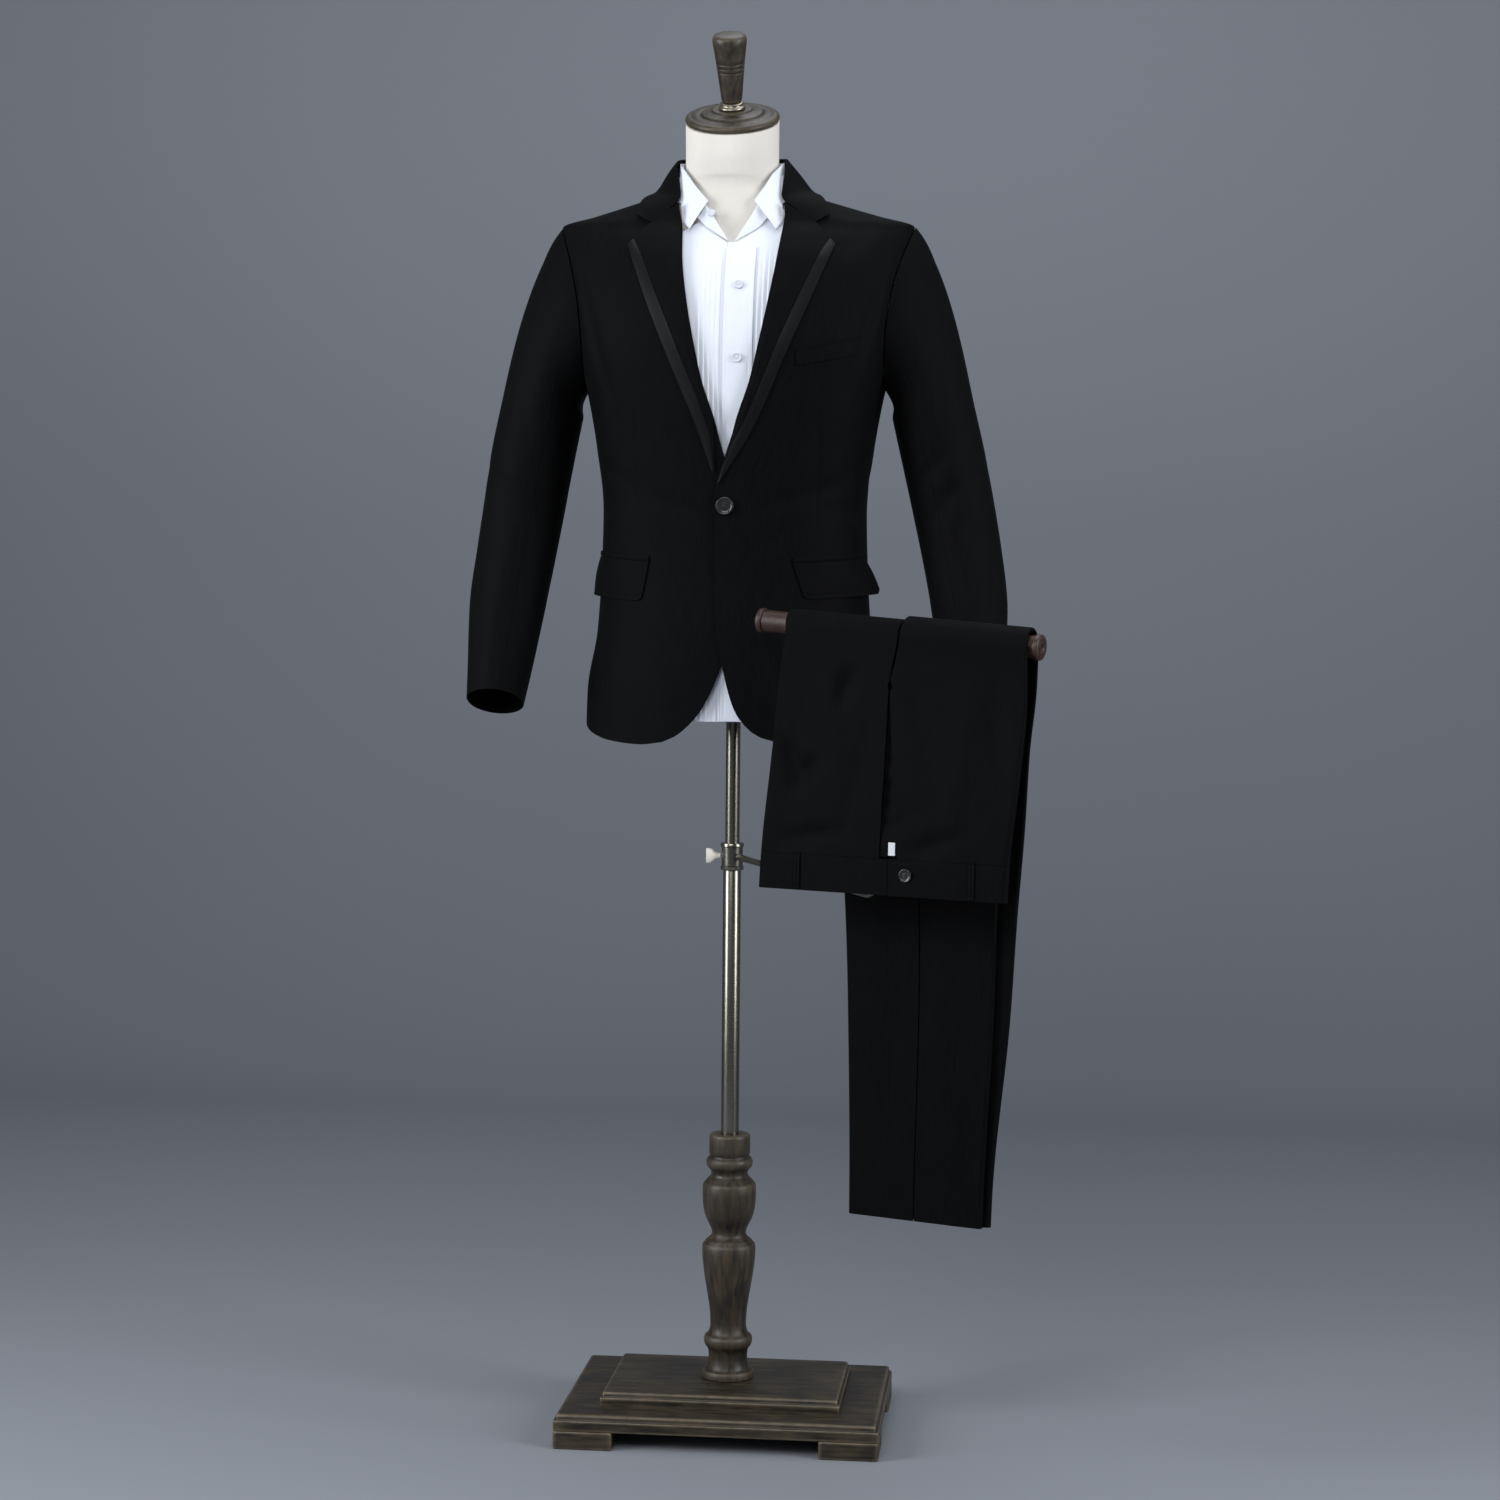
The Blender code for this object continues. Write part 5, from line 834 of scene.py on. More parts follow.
def jacket_back(label, side):
    """A back panel: the patch between centre seam, side seam with armhole, hem, and neck with shoulder seam."""
    u, v = grid(0.0002 + 0.9995 * unit(71), unit(151))

    def centre(share):
        return np.stack([180.0 + 0 * share, BACK_HEM + (BACK_NECK - BACK_HEM) * share], -1)

    def low(share):
        return np.stack([180.0 - 90.0 * share, BACK_HEM + (SIDE_HEM - BACK_HEM) * share], -1)

    def high(share):
        neck = np.clip(share / NECK_SHARE, 0.0, 1.0)
        seam = shoulder_seam(np.clip((share - NECK_SHARE) / (1 - NECK_SHARE), 0.0, 1.0), 1)
        across = np.stack([180.0 - 90.0 * neck, BACK_NECK - (BACK_NECK - SEAM_TOP) * neck**2], -1)
        return np.where((share > NECK_SHARE)[..., None], seam, across)

    places = patch(centre, lambda share: panel_side(share, False), low, high, u, v)
    groove = 0.0007 * bell(u * BACK_WIDTH, SEAM_GROOVE) + 0.0006 * bell((1 - u) * BACK_WIDTH, SEAM_GROOVE)
    panel = laid_cloth(f"wool_back_{label}", places, 0.0, wool, f"jacket_back_{label}", "black_wool", side, groove)


for side, label in SIDES:
    jacket_back(label, side)

# Jacket fronts: worsted wool over canvas, cut away below one button, each with a dart from the chest to the
# pocket. The left front laps over the right.

FRONT_EDGE = (
    (0.000, 0.0750, 0.8690),
    (0.015, 0.0575, 0.8770),
    (0.030, 0.0400, 0.8920),
    (0.050, 0.0250, 0.9110),
    (0.075, 0.0120, 0.9370),
    (0.100, 0.0035, 0.9580),
    (0.130, -0.0040, 0.9800),
    (0.180, -0.0090, 1.0130),
    (0.250, -0.0115, 1.0600),
    (0.400, -0.0120, 1.1630),
    (0.440, -0.0085, 1.1900),
    (0.485, 0.0030, 1.2200),
    (0.540, 0.0135, 1.2600),
    (0.600, 0.0290, 1.3060),
    (0.650, 0.0390, 1.3500),
    (0.710, 0.0490, 1.4000),
    (0.780, 0.0570, 1.4500),
    (0.860, 0.0625, 1.5000),
    (0.930, 0.0680, 1.5300),
    (1.000, 0.0735, 1.5460),
)
# How much less the left front is cut away than the right one: height, distance
LEFT_TUCK = ((0.869, 0.0), (0.873, 0.0086), (0.880, 0.0140), (0.894, 0.0142), (0.914, 0.0110), (0.942, 0.0062),
             (0.980, 0.0012), (1.050, 0.0))
OVERLAP_LIFT, OVERLAP_REACH = 0.0024, 0.060
DART_FOOT, DART_TOP, DART_X = 1.112, 1.300, 0.110


def front_curve(table):
    """A table of (share, x, height) as a function of the share that gives angle and height."""

    def place(share):
        x, height = np.moveaxis(through(table, share), -1, 0)
        return np.stack([angle_at(x, height), height], -1)

    return place


def overlap(height):
    """1 where the fronts lie over one another, fading out above the button."""
    return 1 - smooth((height - 1.215) / 0.05)


def jacket_front(label, side, lift, edge):
    """A front panel: the patch between its front edge, side seam with armhole, hem and shoulder seam, with a dart."""
    u, v = grid(0.9997 * unit(131), unit(141))
    places = patch(front_curve(edge), lambda share: panel_side(share, True), front_curve(FRONT_HEM),
                   lambda share: shoulder_seam(share, -1), u, v)
    height = places[..., 1]
    across = on_body(places[..., 0], height, 0.0)[..., 0]
    raised = lift * (1 - smooth((across - 0.014) / (OVERLAP_REACH - 0.014))) * overlap(height)
    in_dart = smooth((height - DART_FOOT) / 0.03) * smooth((DART_TOP - height) / 0.05)
    off = across - DART_X - 0.02 * (height - 1.2)
    dart = in_dart * (0.0007 * bell(off, SEAM_GROOVE) + 0.0006 * bell(off, 0.011))
    panel = laid_cloth(f"wool_front_{label}", places, raised, wool, f"jacket_front_{label}", "black_wool", side, dart)


left_edge = [(share, x - float(through(LEFT_TUCK, height)[0]), height) for share, x, height in FRONT_EDGE]
jacket_front("left", 1, OVERLAP_LIFT, left_edge)
jacket_front("right", -1, 0.0, FRONT_EDGE)

# Lapels: notch lapels of the same wool, rolled back from the button, each edged with a strip of black satin
# that catches the light.

LAPEL_OUTER = ((0.0360, 1.254), (0.0705, 1.335), (0.1000, 1.405), (0.1257, 1.470))
LAPEL_NOTCH, GORGE_TOP = (0.0980, 1.500), (0.0640, 1.524)
NOTCH_SHARE, LAPEL_TRIM_WIDTH, LAPEL_BELLY, TRIM_CROWN = 0.55, 0.0092, 0.0016, 0.0004
satin = woven("black_satin_edging", "#08090a", "#101114", 0.0008, 0.44, 0.06, 500.0,
              Sheen_Weight=0.02, Specular_IOR_Level=0.12)


def lapel(label, side, inner_break, lift):
    """A lapel and its satin strip: patches from the roll line to the outer edge, the lapel bellied a little out."""
    roll = [inner_break, *[(row[1] + 0.0012, row[2]) for row in FRONT_EDGE if 1.225 < row[2] < 1.52], GORGE_TOP]
    edge = [(inner_break[0] + 0.003, inner_break[1] - 0.001), *LAPEL_OUTER]
    tables = [[((p[1] - line[0][1]) / (line[-1][1] - line[0][1]), *p) for p in line] for line in (roll, edge)]
    roll_line, edge_line = (front_curve(table) for table in tables)

    def low(share):
        return roll_line(0.0) + share[..., None] * (edge_line(0.0) - roll_line(0.0))

    def high(share):
        corners = zip(GORGE_TOP, LAPEL_NOTCH, LAPEL_OUTER[-1])
        x, height = (np.interp(share, (0.0, NOTCH_SHARE, 1.0), row) for row in corners)
        return np.stack([angle_at(x, height), height], -1)

    rows = unit(121)
    start, end = roll_line(rows), edge_line(rows)
    width = np.linalg.norm(on_body(*start.T, 0.0) - on_body(*end.T, 0.0), axis=-1)[:, None]
    trim = np.clip(LAPEL_TRIM_WIDTH / width, 0.0, 0.55)
    main_u = unit(41) * (1 - trim - 0.0004 / width)
    trim_u = 1 - trim * np.linspace(1, 0, 11)
    crown = TRIM_CROWN * np.sin(np.pi * (1 - (1 - trim_u) / trim))
    for kind, u, ridge, material, node, slot in (
        ("wool_lapel", main_u, 0.0, wool, "lapel", "black_wool"),
        ("satin_edge", trim_u, crown, satin, "lapel_satin", "black_satin"),
    ):
        v = rows[:, None] + 0 * u
        places = patch(roll_line, edge_line, low, high, u, v)
        height = places[..., 1]
        raised = JACKET_WALL + LAID + lift * overlap(height) + 0.0014 * smooth((height - 1.43) / 0.05)
        belly = LAPEL_BELLY * np.sin(np.pi * np.clip(u, 0, 1)) ** 1.5 * smooth(v / 0.25)
        laid_cloth(f"{kind}_{label}", places, raised + belly, material, f"{node}_{label}", slot, side,
                                 -ridge)


lapel("left", 1, (-0.0100, 1.184), OVERLAP_LIFT)
lapel("right", -1, (0.0125, 1.198), 0.0)

# Jacket collar: a fall of wool that folds over its stand round the neck and ends in the notches.

COLLAR_FALL = (
    (0.00, 23.3, 1.5000, 34.0, 1.5080),
    (0.14, 25.4, 1.5160, 54.6, 1.5250),
    (0.30, 37.0, 1.5360, 79.6, 1.5345),
    (0.45, 83.6, 1.5790, 99.6, 1.5380),
    (0.65, 119.3, 1.5880, 132.3, 1.5420),
    (1.00, 180.0, 1.5930, 180.0, 1.5480),
)
band, share, across = spanned(COLLAR_FALL, COLLAR_KEYS, 0.0022, 0.0050, (1, -1), 181, 27)
half_way = 1 - np.abs(share - 1)
band = off_face(band, 0.0032 * np.sin(np.pi * across) ** 0.8 * smooth(half_way / 0.25))
collar = closed_wall("wool_collar", off_face(band, JACKET_WALL), band, wool, "collar", "black_wool")
half = np.linspace(0.46, 1, 46)
share = np.concatenate([half, half[-2::-1]])
flip = np.concatenate([np.ones(46), -np.ones(45)])[:, None]
rows, across = through(COLLAR_FALL, share), unit(12)
foot = BACK_NECK - (BACK_NECK - SEAM_TOP) * np.clip((180.0 - rows[:, 0]) / 90.0, 0.0, 1.0) ** 2 + 0.0006
angle = rows[:, None, 0] + 0 * across
height = foot[:, None] + (rows[:, None, 1] - 0.0006 - foot[:, None]) * across
angle = np.where(flip > 0, angle, 360.0 - angle)
shells = on_layers(angle, height, 0.0018, 0.0004)
collar_stand = closed_wall("wool_collar_stand", *shells, wool, "collar_stand", "black_wool")

# Sleeves: two-piece sleeves of lined wool, an upper and an under piece, eased into the armhole over a thin pad and
# hanging empty and open, bent a little forward at the elbow.

SLEEVE_SECTIONS = (
    (1.275, 0.2430, 0.0060, 0.0505, 0.0620),
    (1.215, 0.2548, 0.0020, 0.0510, 0.0595),
    (1.155, 0.2644, -0.0035, 0.0504, 0.0562),
    (1.095, 0.2731, -0.0132, 0.0492, 0.0537),
    (1.041, 0.2800, -0.0270, 0.0476, 0.0520),
    (1.000, 0.2830, -0.0400, 0.0442, 0.0510),
    (0.960, 0.2852, -0.0540, 0.0400, 0.0500),
    (0.914, 0.2880, -0.0720, 0.0350, 0.0480),
)
CROWN_LEAD = ((0.0, 0.050, -0.075), (0.5, 0.116, -0.098), (1.0, 0.125, -0.170))
LEFT_SWING, SWING_TOP, SWING_DROP = 0.013, 1.320, 0.320
CROWN_ROWS, CROWN_SHARE, ARM_ROWS = 45, 0.35, 86
# Points round the arm, and those at which the under sleeve starts and ends
ROUND_ARM, UNDER_FIRST, UNDER_LAST = 144, 45, 99
# Folds of a sleeve: place round it in degrees from the top by the front, share down it, lean, half length, half
# width, depth in mm; degrees are taken as 1 mm each and the share as 0.6 m
SLEEVE_FOLDS = (
    (60.0, 0.30, 20.0, 0.090, 0.013, -2.4),
    (95.0, 0.47, 62.0, 0.045, 0.010, -2.6),
    (70.0, 0.53, 70.0, 0.050, 0.010, -2.2),
    (110.0, 0.58, 55.0, 0.040, 0.010, -2.0),
    (20.0, 0.42, 6.0, 0.140, 0.017, 2.0),
    (45.0, 0.75, 8.0, 0.110, 0.015, -2.0),
    (85.0, 0.80, -6.0, 0.090, 0.013, 1.8),
    (330.0, 0.36, -10.0, 0.120, 0.017, -2.2),
    (300.0, 0.62, -4.0, 0.120, 0.018, 2.0),
    (260.0, 0.45, -60.0, 0.050, 0.012, -2.0),
    (345.0, 0.78, 3.0, 0.110, 0.017, -1.9),
    (30.0, 0.10, 30.0, 0.050, 0.012, -1.6),
    (335.0, 0.09, -26.0, 0.050, 0.013, -1.7),
    (180.0, 0.30, 80.0, 0.040, 0.010, -1.8),
)


def sleeve(label, side):
    """Rings round the arm: a curve from each armhole point to the first section, then sections led down the arm."""
    turn = np.arange(ROUND_ARM) * 360 / ROUND_ARM
    start = on_body(*armhole(turn).T, 0.0)
    radial = direction((start - start.mean(0)) * (0.0, 1.0, 1.0))
    top = 0.5 + 0.5 * np.cos(np.radians(turn))
    lead = through(CROWN_LEAD, top)
    lead = np.stack([lead[:, 0], 0 * lead[:, 0], lead[:, 1]], -1)
    heights = np.linspace(SLEEVE_SECTIONS[0][0], SLEEVE_SECTIONS[-1][0], ARM_ROWS)
    x, y, half_width, half_depth = through(SLEEVE_SECTIONS[::-1], heights).T
    if side > 0:
        x = x + LEFT_SWING * smooth((SWING_TOP - heights) / SWING_DROP)
    centres = np.stack([x, y, heights], -1)
    along = direction(np.gradient(centres, axis=0))
    wide = np.cross((0.0, 1.0, 0.0), along)
    wide = direction(wide * np.sign(wide[:, :1]))
    wide[:, 2] *= np.linspace(1.0, 0.0, len(heights))
    wide = direction(wide)
    deep = np.cross(along, wide)
    deep *= np.sign(-deep[:, 1:2])
    c, s = np.cos(np.radians(turn))[:, None], np.sin(np.radians(turn))[:, None]
    t = unit(CROWN_ROWS + 1)[:-1, None, None]
    share = np.concatenate([CROWN_SHARE * t[:, 0, 0], np.linspace(CROWN_SHARE, 1.0, len(heights))])
    table = [((row[0] + 60) % 360 * 0.001 - 0.06, row[1] * 0.6, *row[2:]) for row in SLEEVE_FOLDS]
    folds = creases(((turn + 60.0) % 360.0 - 60.0) * 0.001, share[:, None] * 0.6, table)[..., None]

    def skin(half_wall, inset):
        spread_out = folds[CROWN_ROWS:] - inset
        low = (centres[:, None] + (half_width[:, None, None] + spread_out) * c * wide[:, None]
               + (half_depth[:, None, None] + spread_out) * s * deep[:, None])
        first = start + half_wall * radial + np.array((JACKET_WALL + 0.0012, 0.0, 0.0))
        tail = 0.9 * np.linalg.norm(low[0] - first, axis=1, keepdims=True) * along[0]
        crown = ((1 + 2 * t) * (1 - t) ** 2 * first + t * t * (3 - 2 * t) * low[0]
                 + t * (1 - t) ** 2 * lead - t * t * (1 - t) * tail)
        away = (crown - crown.mean(1, keepdims=True)) * (0.0, 1.0, 1.0) + np.array((0.02, 0.0, 0.0)) * top[:, None]
        away = direction(away) * (1 - smooth(t)) + (c * wide[:1] + s * deep[:1]) * smooth(t)
        puff = 0.0018 * top[:, None] ** 2 * np.sin(np.pi * np.clip(t / 0.22, 0, 1))
        crease = folds[:CROWN_ROWS] * t**0.5 * (1 - smooth(t))
        return np.concatenate([crown + (crease + puff) * away, low])

    whole = skin(JACKET_WALL / 2, 0.0), skin(-JACKET_WALL / 2, JACKET_WALL)
    for kind, first, last, flat, area in (
        ("under_sleeve", UNDER_FIRST, UNDER_LAST, (0.17, 0.50), 0.054),
        ("upper_sleeve", UNDER_LAST, UNDER_FIRST + ROUND_ARM, (0.26, 0.63), 0.118),
    ):
        shells = [points[:, np.arange(first, last + 1) % ROUND_ARM] for points in whole]
        for part in shells:
            near, far = part[:, 1] - part[:, 0], part[:, -2] - part[:, -1]
            part[:, 0] += SEAM / 2 * direction(near)
            part[:, -1] += SEAM / 2 * direction(far)
            part[..., 0] *= side
        made = closed_wall(f"wool_{kind}_{label}", *shells, wool, f"{kind}_{label}", "black_wool")


for side, label in SIDES:
    sleeve(label, side)

# Pockets: a flap with rounded corners under a narrow jet on each hip, and a slanting welt on the wearer's left
# breast, all of wool with a turned edge. The flaps spring off the skirt at their back corner.

FLAP_TOP = ((26.6, 1.087), (78.2, 1.094))
FLAP_LOW = ((31.3, 1.0435), (85.9, 1.050))
# The right pocket was cut shorter and deeper than the left one
RIGHT_FLAP_TOP, RIGHT_FLAP_LOW = ((31.6, 1.0875), (78.2, 1.094)), ((34.8, 1.0395), (85.9, 1.0465))
FLAP_CORNER, FLAP_HEIGHT, JET_HEIGHT = 0.0062, 0.044, 0.006
WELT_LOW, WELT_TOP = ((0.084, 1.3238), (0.160, 1.3416)), ((0.084, 1.3420), (0.160, 1.3600))


def between(low, top, columns, rows):
    """A grid between two straight edges given by (angle, height) corner pairs."""
    u, v = (share[..., None] for share in grid(unit(columns), unit(rows)))
    low, top = np.array(low, float), np.array(top, float)
    return (1 - v) * ((1 - u) * low[0] + u * low[1]) + v * ((1 - u) * top[0] + u * top[1])


for side, label, flare, flap_low, flap_top in (
    (1, "left", 0.013, FLAP_LOW, FLAP_TOP), (-1, "right", 0.006, RIGHT_FLAP_LOW, RIGHT_FLAP_TOP),
):
    u, v = grid(unit(81), unit(31))
    places = between(flap_low, flap_top, 81, 31)
    end = np.clip(1 - np.minimum(u, 1 - u) / 0.09, 0, 1)
    places[..., 1] += (1 - v) * FLAP_CORNER * (1 - np.sqrt(np.clip(1 - end**2, 0, 1)))
    low = JACKET_WALL + LAID + flare * (1 - v) * smooth((u - 0.35) / 0.65) + 0.0012 * np.sin(np.pi * v) * u
    hem_line = 0.0004 * bell(v * FLAP_HEIGHT - 0.0045, 0.0011)
    flap = laid_cloth(f"wool_flap_{label}", places, low, wool, f"pocket_flap_{label}", "black_wool", side, hem_line)
    lifted = [[(a, h + 0.0006 + extra) for a, h in flap_top] for extra in (0.0, JET_HEIGHT)]
    round_jet = 0.0005 * np.sin(np.pi * unit(9))[:, None]
    jet = laid_cloth(f"wool_jet_{label}", between(*lifted, 81, 9), JACKET_WALL + LAID, wool, f"pocket_jet_{label}",
                     "black_wool", side, -round_jet)
corners = [[(front_angle(x, height), height) for x, height in row] for row in (WELT_LOW, WELT_TOP)]
edge_line = 0.0004 * bell((1 - unit(15)[:, None]) * 0.018 - 0.003, 0.001)
welt = laid_cloth("wool_breast_welt", between(*corners, 61, 15), JACKET_WALL + LAID, wool, "breast_welt", "black_wool",
                  1, edge_line)

# Jacket button: one 22 mm horn-look button that fastens the left front over the right.

BUTTON_HEIGHT = 1.1556
horn = moulded_plastic("black_horn_button", "#1a1a1c", 0.26, 0.25)
black_thread = woven("black_sewing_thread", "#0c0c0e", "#191a1d", 0.0006, 0.6, 0.1, 300.0)
button_low = OVERLAP_LIFT + JACKET_WALL + LAID + 0.0002
button_low += jacket_lift(front_angle(0.0, BUTTON_HEIGHT), BUTTON_HEIGHT)
sewn_button("horn_jacket_button", *on_front(0.0, BUTTON_HEIGHT, button_low), 0.0110, 0.0038, horn, black_thread,
            "jacket_button", "black_button")

# Trousers: front and back panels of the jacket's wool for each leg, folded over the rail. The waist hangs in front
# with its fly closed, and behind it the legs hang one on the other with pressed edges.

FRONT_DROP, BACK_DROP, BAND_HEIGHT, WAIST_THICKNESS = 0.300, 0.696, 0.042, 0.0120
TROUSER_WALL, FOLD_GAP = 0.0014, 0.0003
FOLD_RADIUS = DOWEL_RADIUS + 0.0007
HALF_TURN = math.pi * FOLD_RADIUS
# The lengths between which the rows lie closest, as the cloth turns over the rail
FOLD_FOOT, FOLD_END = 0.285, 0.360
FRONT_HANG = ((0.0, 0.0137), (0.10, 0.0150), (0.20, 0.0185), (0.31, 0.0210))
BACK_HANG = ((0.0, 0.0137), (0.10, 0.0240), (0.20, 0.0360), (0.30, 0.0465), (0.45, 0.0510), (0.70, 0.0530))
# Length from the waist; left edge; right edge; thickness; height off the fold's inner face; turn of the seams;
# closing of the tube at the crotch
INNER_LEG = (
    (0.000, -0.163, -0.0060, 0.0120, 0.0003, 0.0, 0.0),
    (0.042, -0.161, -0.0050, 0.0120, 0.0003, 0.0, 0.0),
    (0.140, -0.152, -0.0025, 0.0095, 0.0003, 0.0, 0.0),
    (0.240, -0.144, -0.0003, 0.0058, 0.0003, 0.0, 0.0),
    (0.290, -0.1375, 0.0080, 0.0038, 0.0003, 0.0, 0.8),
    (0.330, -0.137, 0.0125, 0.0034, 0.0003, 0.1, 1.0),
    (0.390, -0.130, 0.0600, 0.0034, 0.0003, 0.5, 1.0),
    (0.470, -0.113, 0.1030, 0.0050, 0.0003, 0.9, 1.0),
    (0.560, -0.098, 0.1150, 0.0065, 0.0003, 1.0, 1.0),
    (0.660, -0.089, 0.1080, 0.0075, 0.0003, 1.0, 1.0),
    (0.800, -0.085, 0.1030, 0.0088, 0.0003, 1.0, 1.0),
    (1.000, -0.082, 0.0920, 0.0102, 0.0003, 1.0, 1.0),
    (1.100, -0.082, 0.0900, 0.0102, 0.0003, 1.0, 1.0),
)
OUTER_LEG = (
    (0.000, 0.0178, 0.1530, 0.0120, 0.0003, 0.0, 0.0),
    (0.042, 0.0170, 0.1550, 0.0120, 0.0003, 0.0, 0.0),
    (0.140, 0.0085, 0.1640, 0.0095, 0.0003, 0.0, 0.0),
    (0.240, 0.0003, 0.1700, 0.0058, 0.0003, 0.0, 0.0),
    (0.270, 0.0060, 0.1695, 0.0048, 0.0008, 0.0, 0.5),
    (0.300, 0.0118, 0.1690, 0.0044, 0.0026, 0.0, 0.9),
    (0.325, 0.0140, 0.1680, 0.0042, 0.0041, 0.1, 1.0),
    (0.390, -0.0300, 0.1640, 0.0042, 0.0043, 0.5, 1.0),
    (0.470, -0.0560, 0.1520, 0.0050, 0.0059, 0.9, 1.0),
    (0.560, -0.0630, 0.1420, 0.0065, 0.0075, 1.0, 1.0),
    (0.660, -0.0640, 0.1300, 0.0075, 0.0086, 1.0, 1.0),
    (0.800, -0.0650, 0.1190, 0.0088, 0.0099, 1.0, 1.0),
    (1.000, -0.0650, 0.0985, 0.0102, 0.0113, 1.0, 1.0),
    (1.100, -0.0650, 0.0955, 0.0102, 0.0113, 1.0, 1.0),
)
# Soft folds of the hanging trousers: place along the rail, length from the waist, lean, half length, half width,
# depth in mm
TROUSER_CREASES = (
    (-0.124, 0.148, -32.0, 0.030, 0.011, -6.0),
    (-0.102, 0.136, 42.0, 0.024, 0.011, -5.0),
    (-0.056, 0.236, 20.0, 0.030, 0.012, -5.2),
    (-0.095, 0.064, 80.0, 0.038, 0.010, -3.6),
    (0.062, 0.060, 72.0, 0.030, 0.010, -3.2),
    (-0.118, 0.150, 6.0, 0.085, 0.015, -1.9),
    (-0.070, 0.200, -9.0, 0.080, 0.013, 1.5),
    (-0.035, 0.140, 14.0, 0.060, 0.012, -1.5),
    (0.045, 0.190, -16.0, 0.075, 0.013, -1.9),
    (0.090, 0.150, 7.0, 0.085, 0.015, 1.7),
    (0.135, 0.205, -5.0, 0.070, 0.013, -2.0),
    (0.020, 0.085, 60.0, 0.030, 0.010, -1.0),
    (-0.100, 0.420, 12.0, 0.080, 0.016, -1.9),
    (-0.045, 0.470, -8.0, 0.110, 0.017, 1.9),
    (0.010, 0.430, 20.0, 0.080, 0.015, -2.0),
    (0.070, 0.480, -14.0, 0.100, 0.016, -2.1),
    (0.120, 0.410, -4.0, 0.090, 0.015, 1.7),
    (-0.050, 0.640, 4.0, 0.130, 0.017, -2.2),
    (0.025, 0.680, -6.0, 0.120, 0.016, 2.0),
    (0.085, 0.640, 8.0, 0.110, 0.016, -2.0),
    (-0.030, 0.860, -5.0, 0.110, 0.017, 1.9),
    (0.040, 0.880, 6.0, 0.130, 0.016, -2.1),
    (0.080, 0.940, 3.0, 0.080, 0.014, 1.5),
)


def on_fold(length, s, off):
    """World point on the fold, off its inner face: down the front, half a turn round the dowel, down the back."""
    length, s, off = np.broadcast_arrays(*(np.asarray(x, float) for x in (length, s, off)))
    front_drop, back_drop = FRONT_DROP - length, length - FRONT_DROP - HALF_TURN
    drop = np.maximum(front_drop, back_drop)
    off = off + creases(s, length, TROUSER_CREASES) * smooth((drop - 0.01) / 0.06)
    arc = np.clip(-front_drop / FOLD_RADIUS, 0.0, math.pi)
    front_q = through(FRONT_HANG, np.clip(front_drop, 0.0, 0.31))[..., 0]
    back_q = through(BACK_HANG, np.clip(back_drop, 0.0, 0.70))[..., 0]
    round_dowel, sides = FOLD_RADIUS + off, (front_drop > 0, back_drop > 0)
    q = np.select(sides, (front_q + off, -back_q - off), round_dowel * np.cos(arc))
    h = np.select(sides, (-front_drop, -back_drop), round_dowel * np.sin(arc))
    slope = 1 - smooth((drop - 0.02) / 0.24)
    return rail_place(s, q, h - RAIL_SLOPE * s * slope)


def tube_point(way, left, right, thick, closed_left, closed_right, inset):
    """s and offset on a flat tube: way 0-1 outer face left to right, 1-2 right end, 2-3 inner face, 3-4 left end."""
    way = np.mod(way, 4.0)
    half = thick / 2
    low, high, shrunk = left + closed_left * half, right - closed_right * half, half - inset
    right_turn, left_turn = (way - 1) * math.pi, (way - 3) * math.pi
    faces = [way <= 1, way <= 2, way <= 3]
    s = np.select(faces, [low + (high - low) * way, high + closed_right * shrunk * np.sin(right_turn),
                          high + (low - high) * (way - 2)], low - closed_left * shrunk * np.sin(left_turn))
    off = np.select(faces, [half + shrunk, half + shrunk * np.cos(right_turn), half - shrunk],
                    half - shrunk * np.cos(left_turn))
    return s, off


def leg_rows(table, lengths, mirrored):
    """A leg's edges, thickness, height, seam turn and closing at some lengths, as columns; the left leg mirrored."""
    left, right, *rest = (column[:, None] for column in through(table, lengths).T)
    return (-right, -left, *rest) if mirrored else (left, right, *rest)


def leg_shell(way, lengths, left, right, thick, base, closing, inset, mirrored, line=0.0):
    """One face of a leg or band: the flat tube's points laid on the fold; a stitch line sinks either side of it."""
    s, off = tube_point(way, left, right, thick, 1.0, closing, inset)
    return on_fold(lengths[:, None], -s if mirrored else s, base + off - np.sign(off - thick / 2) * line)


def leg_panel(label, table, front, mirrored):
    """A front or back panel of one leg, from the waistband's seam to the hem, turned up and pressed."""
    hem = FRONT_DROP + HALF_TURN + BACK_DROP
    steps = ((BAND_HEIGHT, FOLD_FOOT, 45), (FOLD_FOOT, FOLD_END, 33), (FOLD_END, hem, 89))
    lengths = np.concatenate([*(np.linspace(low, high, count + 1)[:-1] for low, high, count in steps), [hem]])
    left, right, thick, base, turn, closing = leg_rows(table, lengths, mirrored)
    seam_out = 3.5 - turn
    seam_in = 5.0 + 0.5 * closing - turn if front else 2.0 - 0.5 * closing - turn
    # Half a seam's gap is left at both edges, in shares of a face or of a turned end
    share = unit(97)
    way = seam_out + (seam_in - seam_out) * share
    gap = np.sign(seam_in - seam_out) * np.where(np.mod(way, 2.0) > 1, 0.00019 / thick, 0.0040)
    way = way + gap * (share == 0) - gap * (share == 1)
    shells = [leg_shell(way, lengths, left, right, thick, base, closing, inset, mirrored)
              for inset in (0.0, TROUSER_WALL)]
    part = "front" if front else "back"
    panel = closed_wall(f"wool_trouser_{part}_{label}", *shells, wool, f"trouser_{part}_{label}", "black_wool")


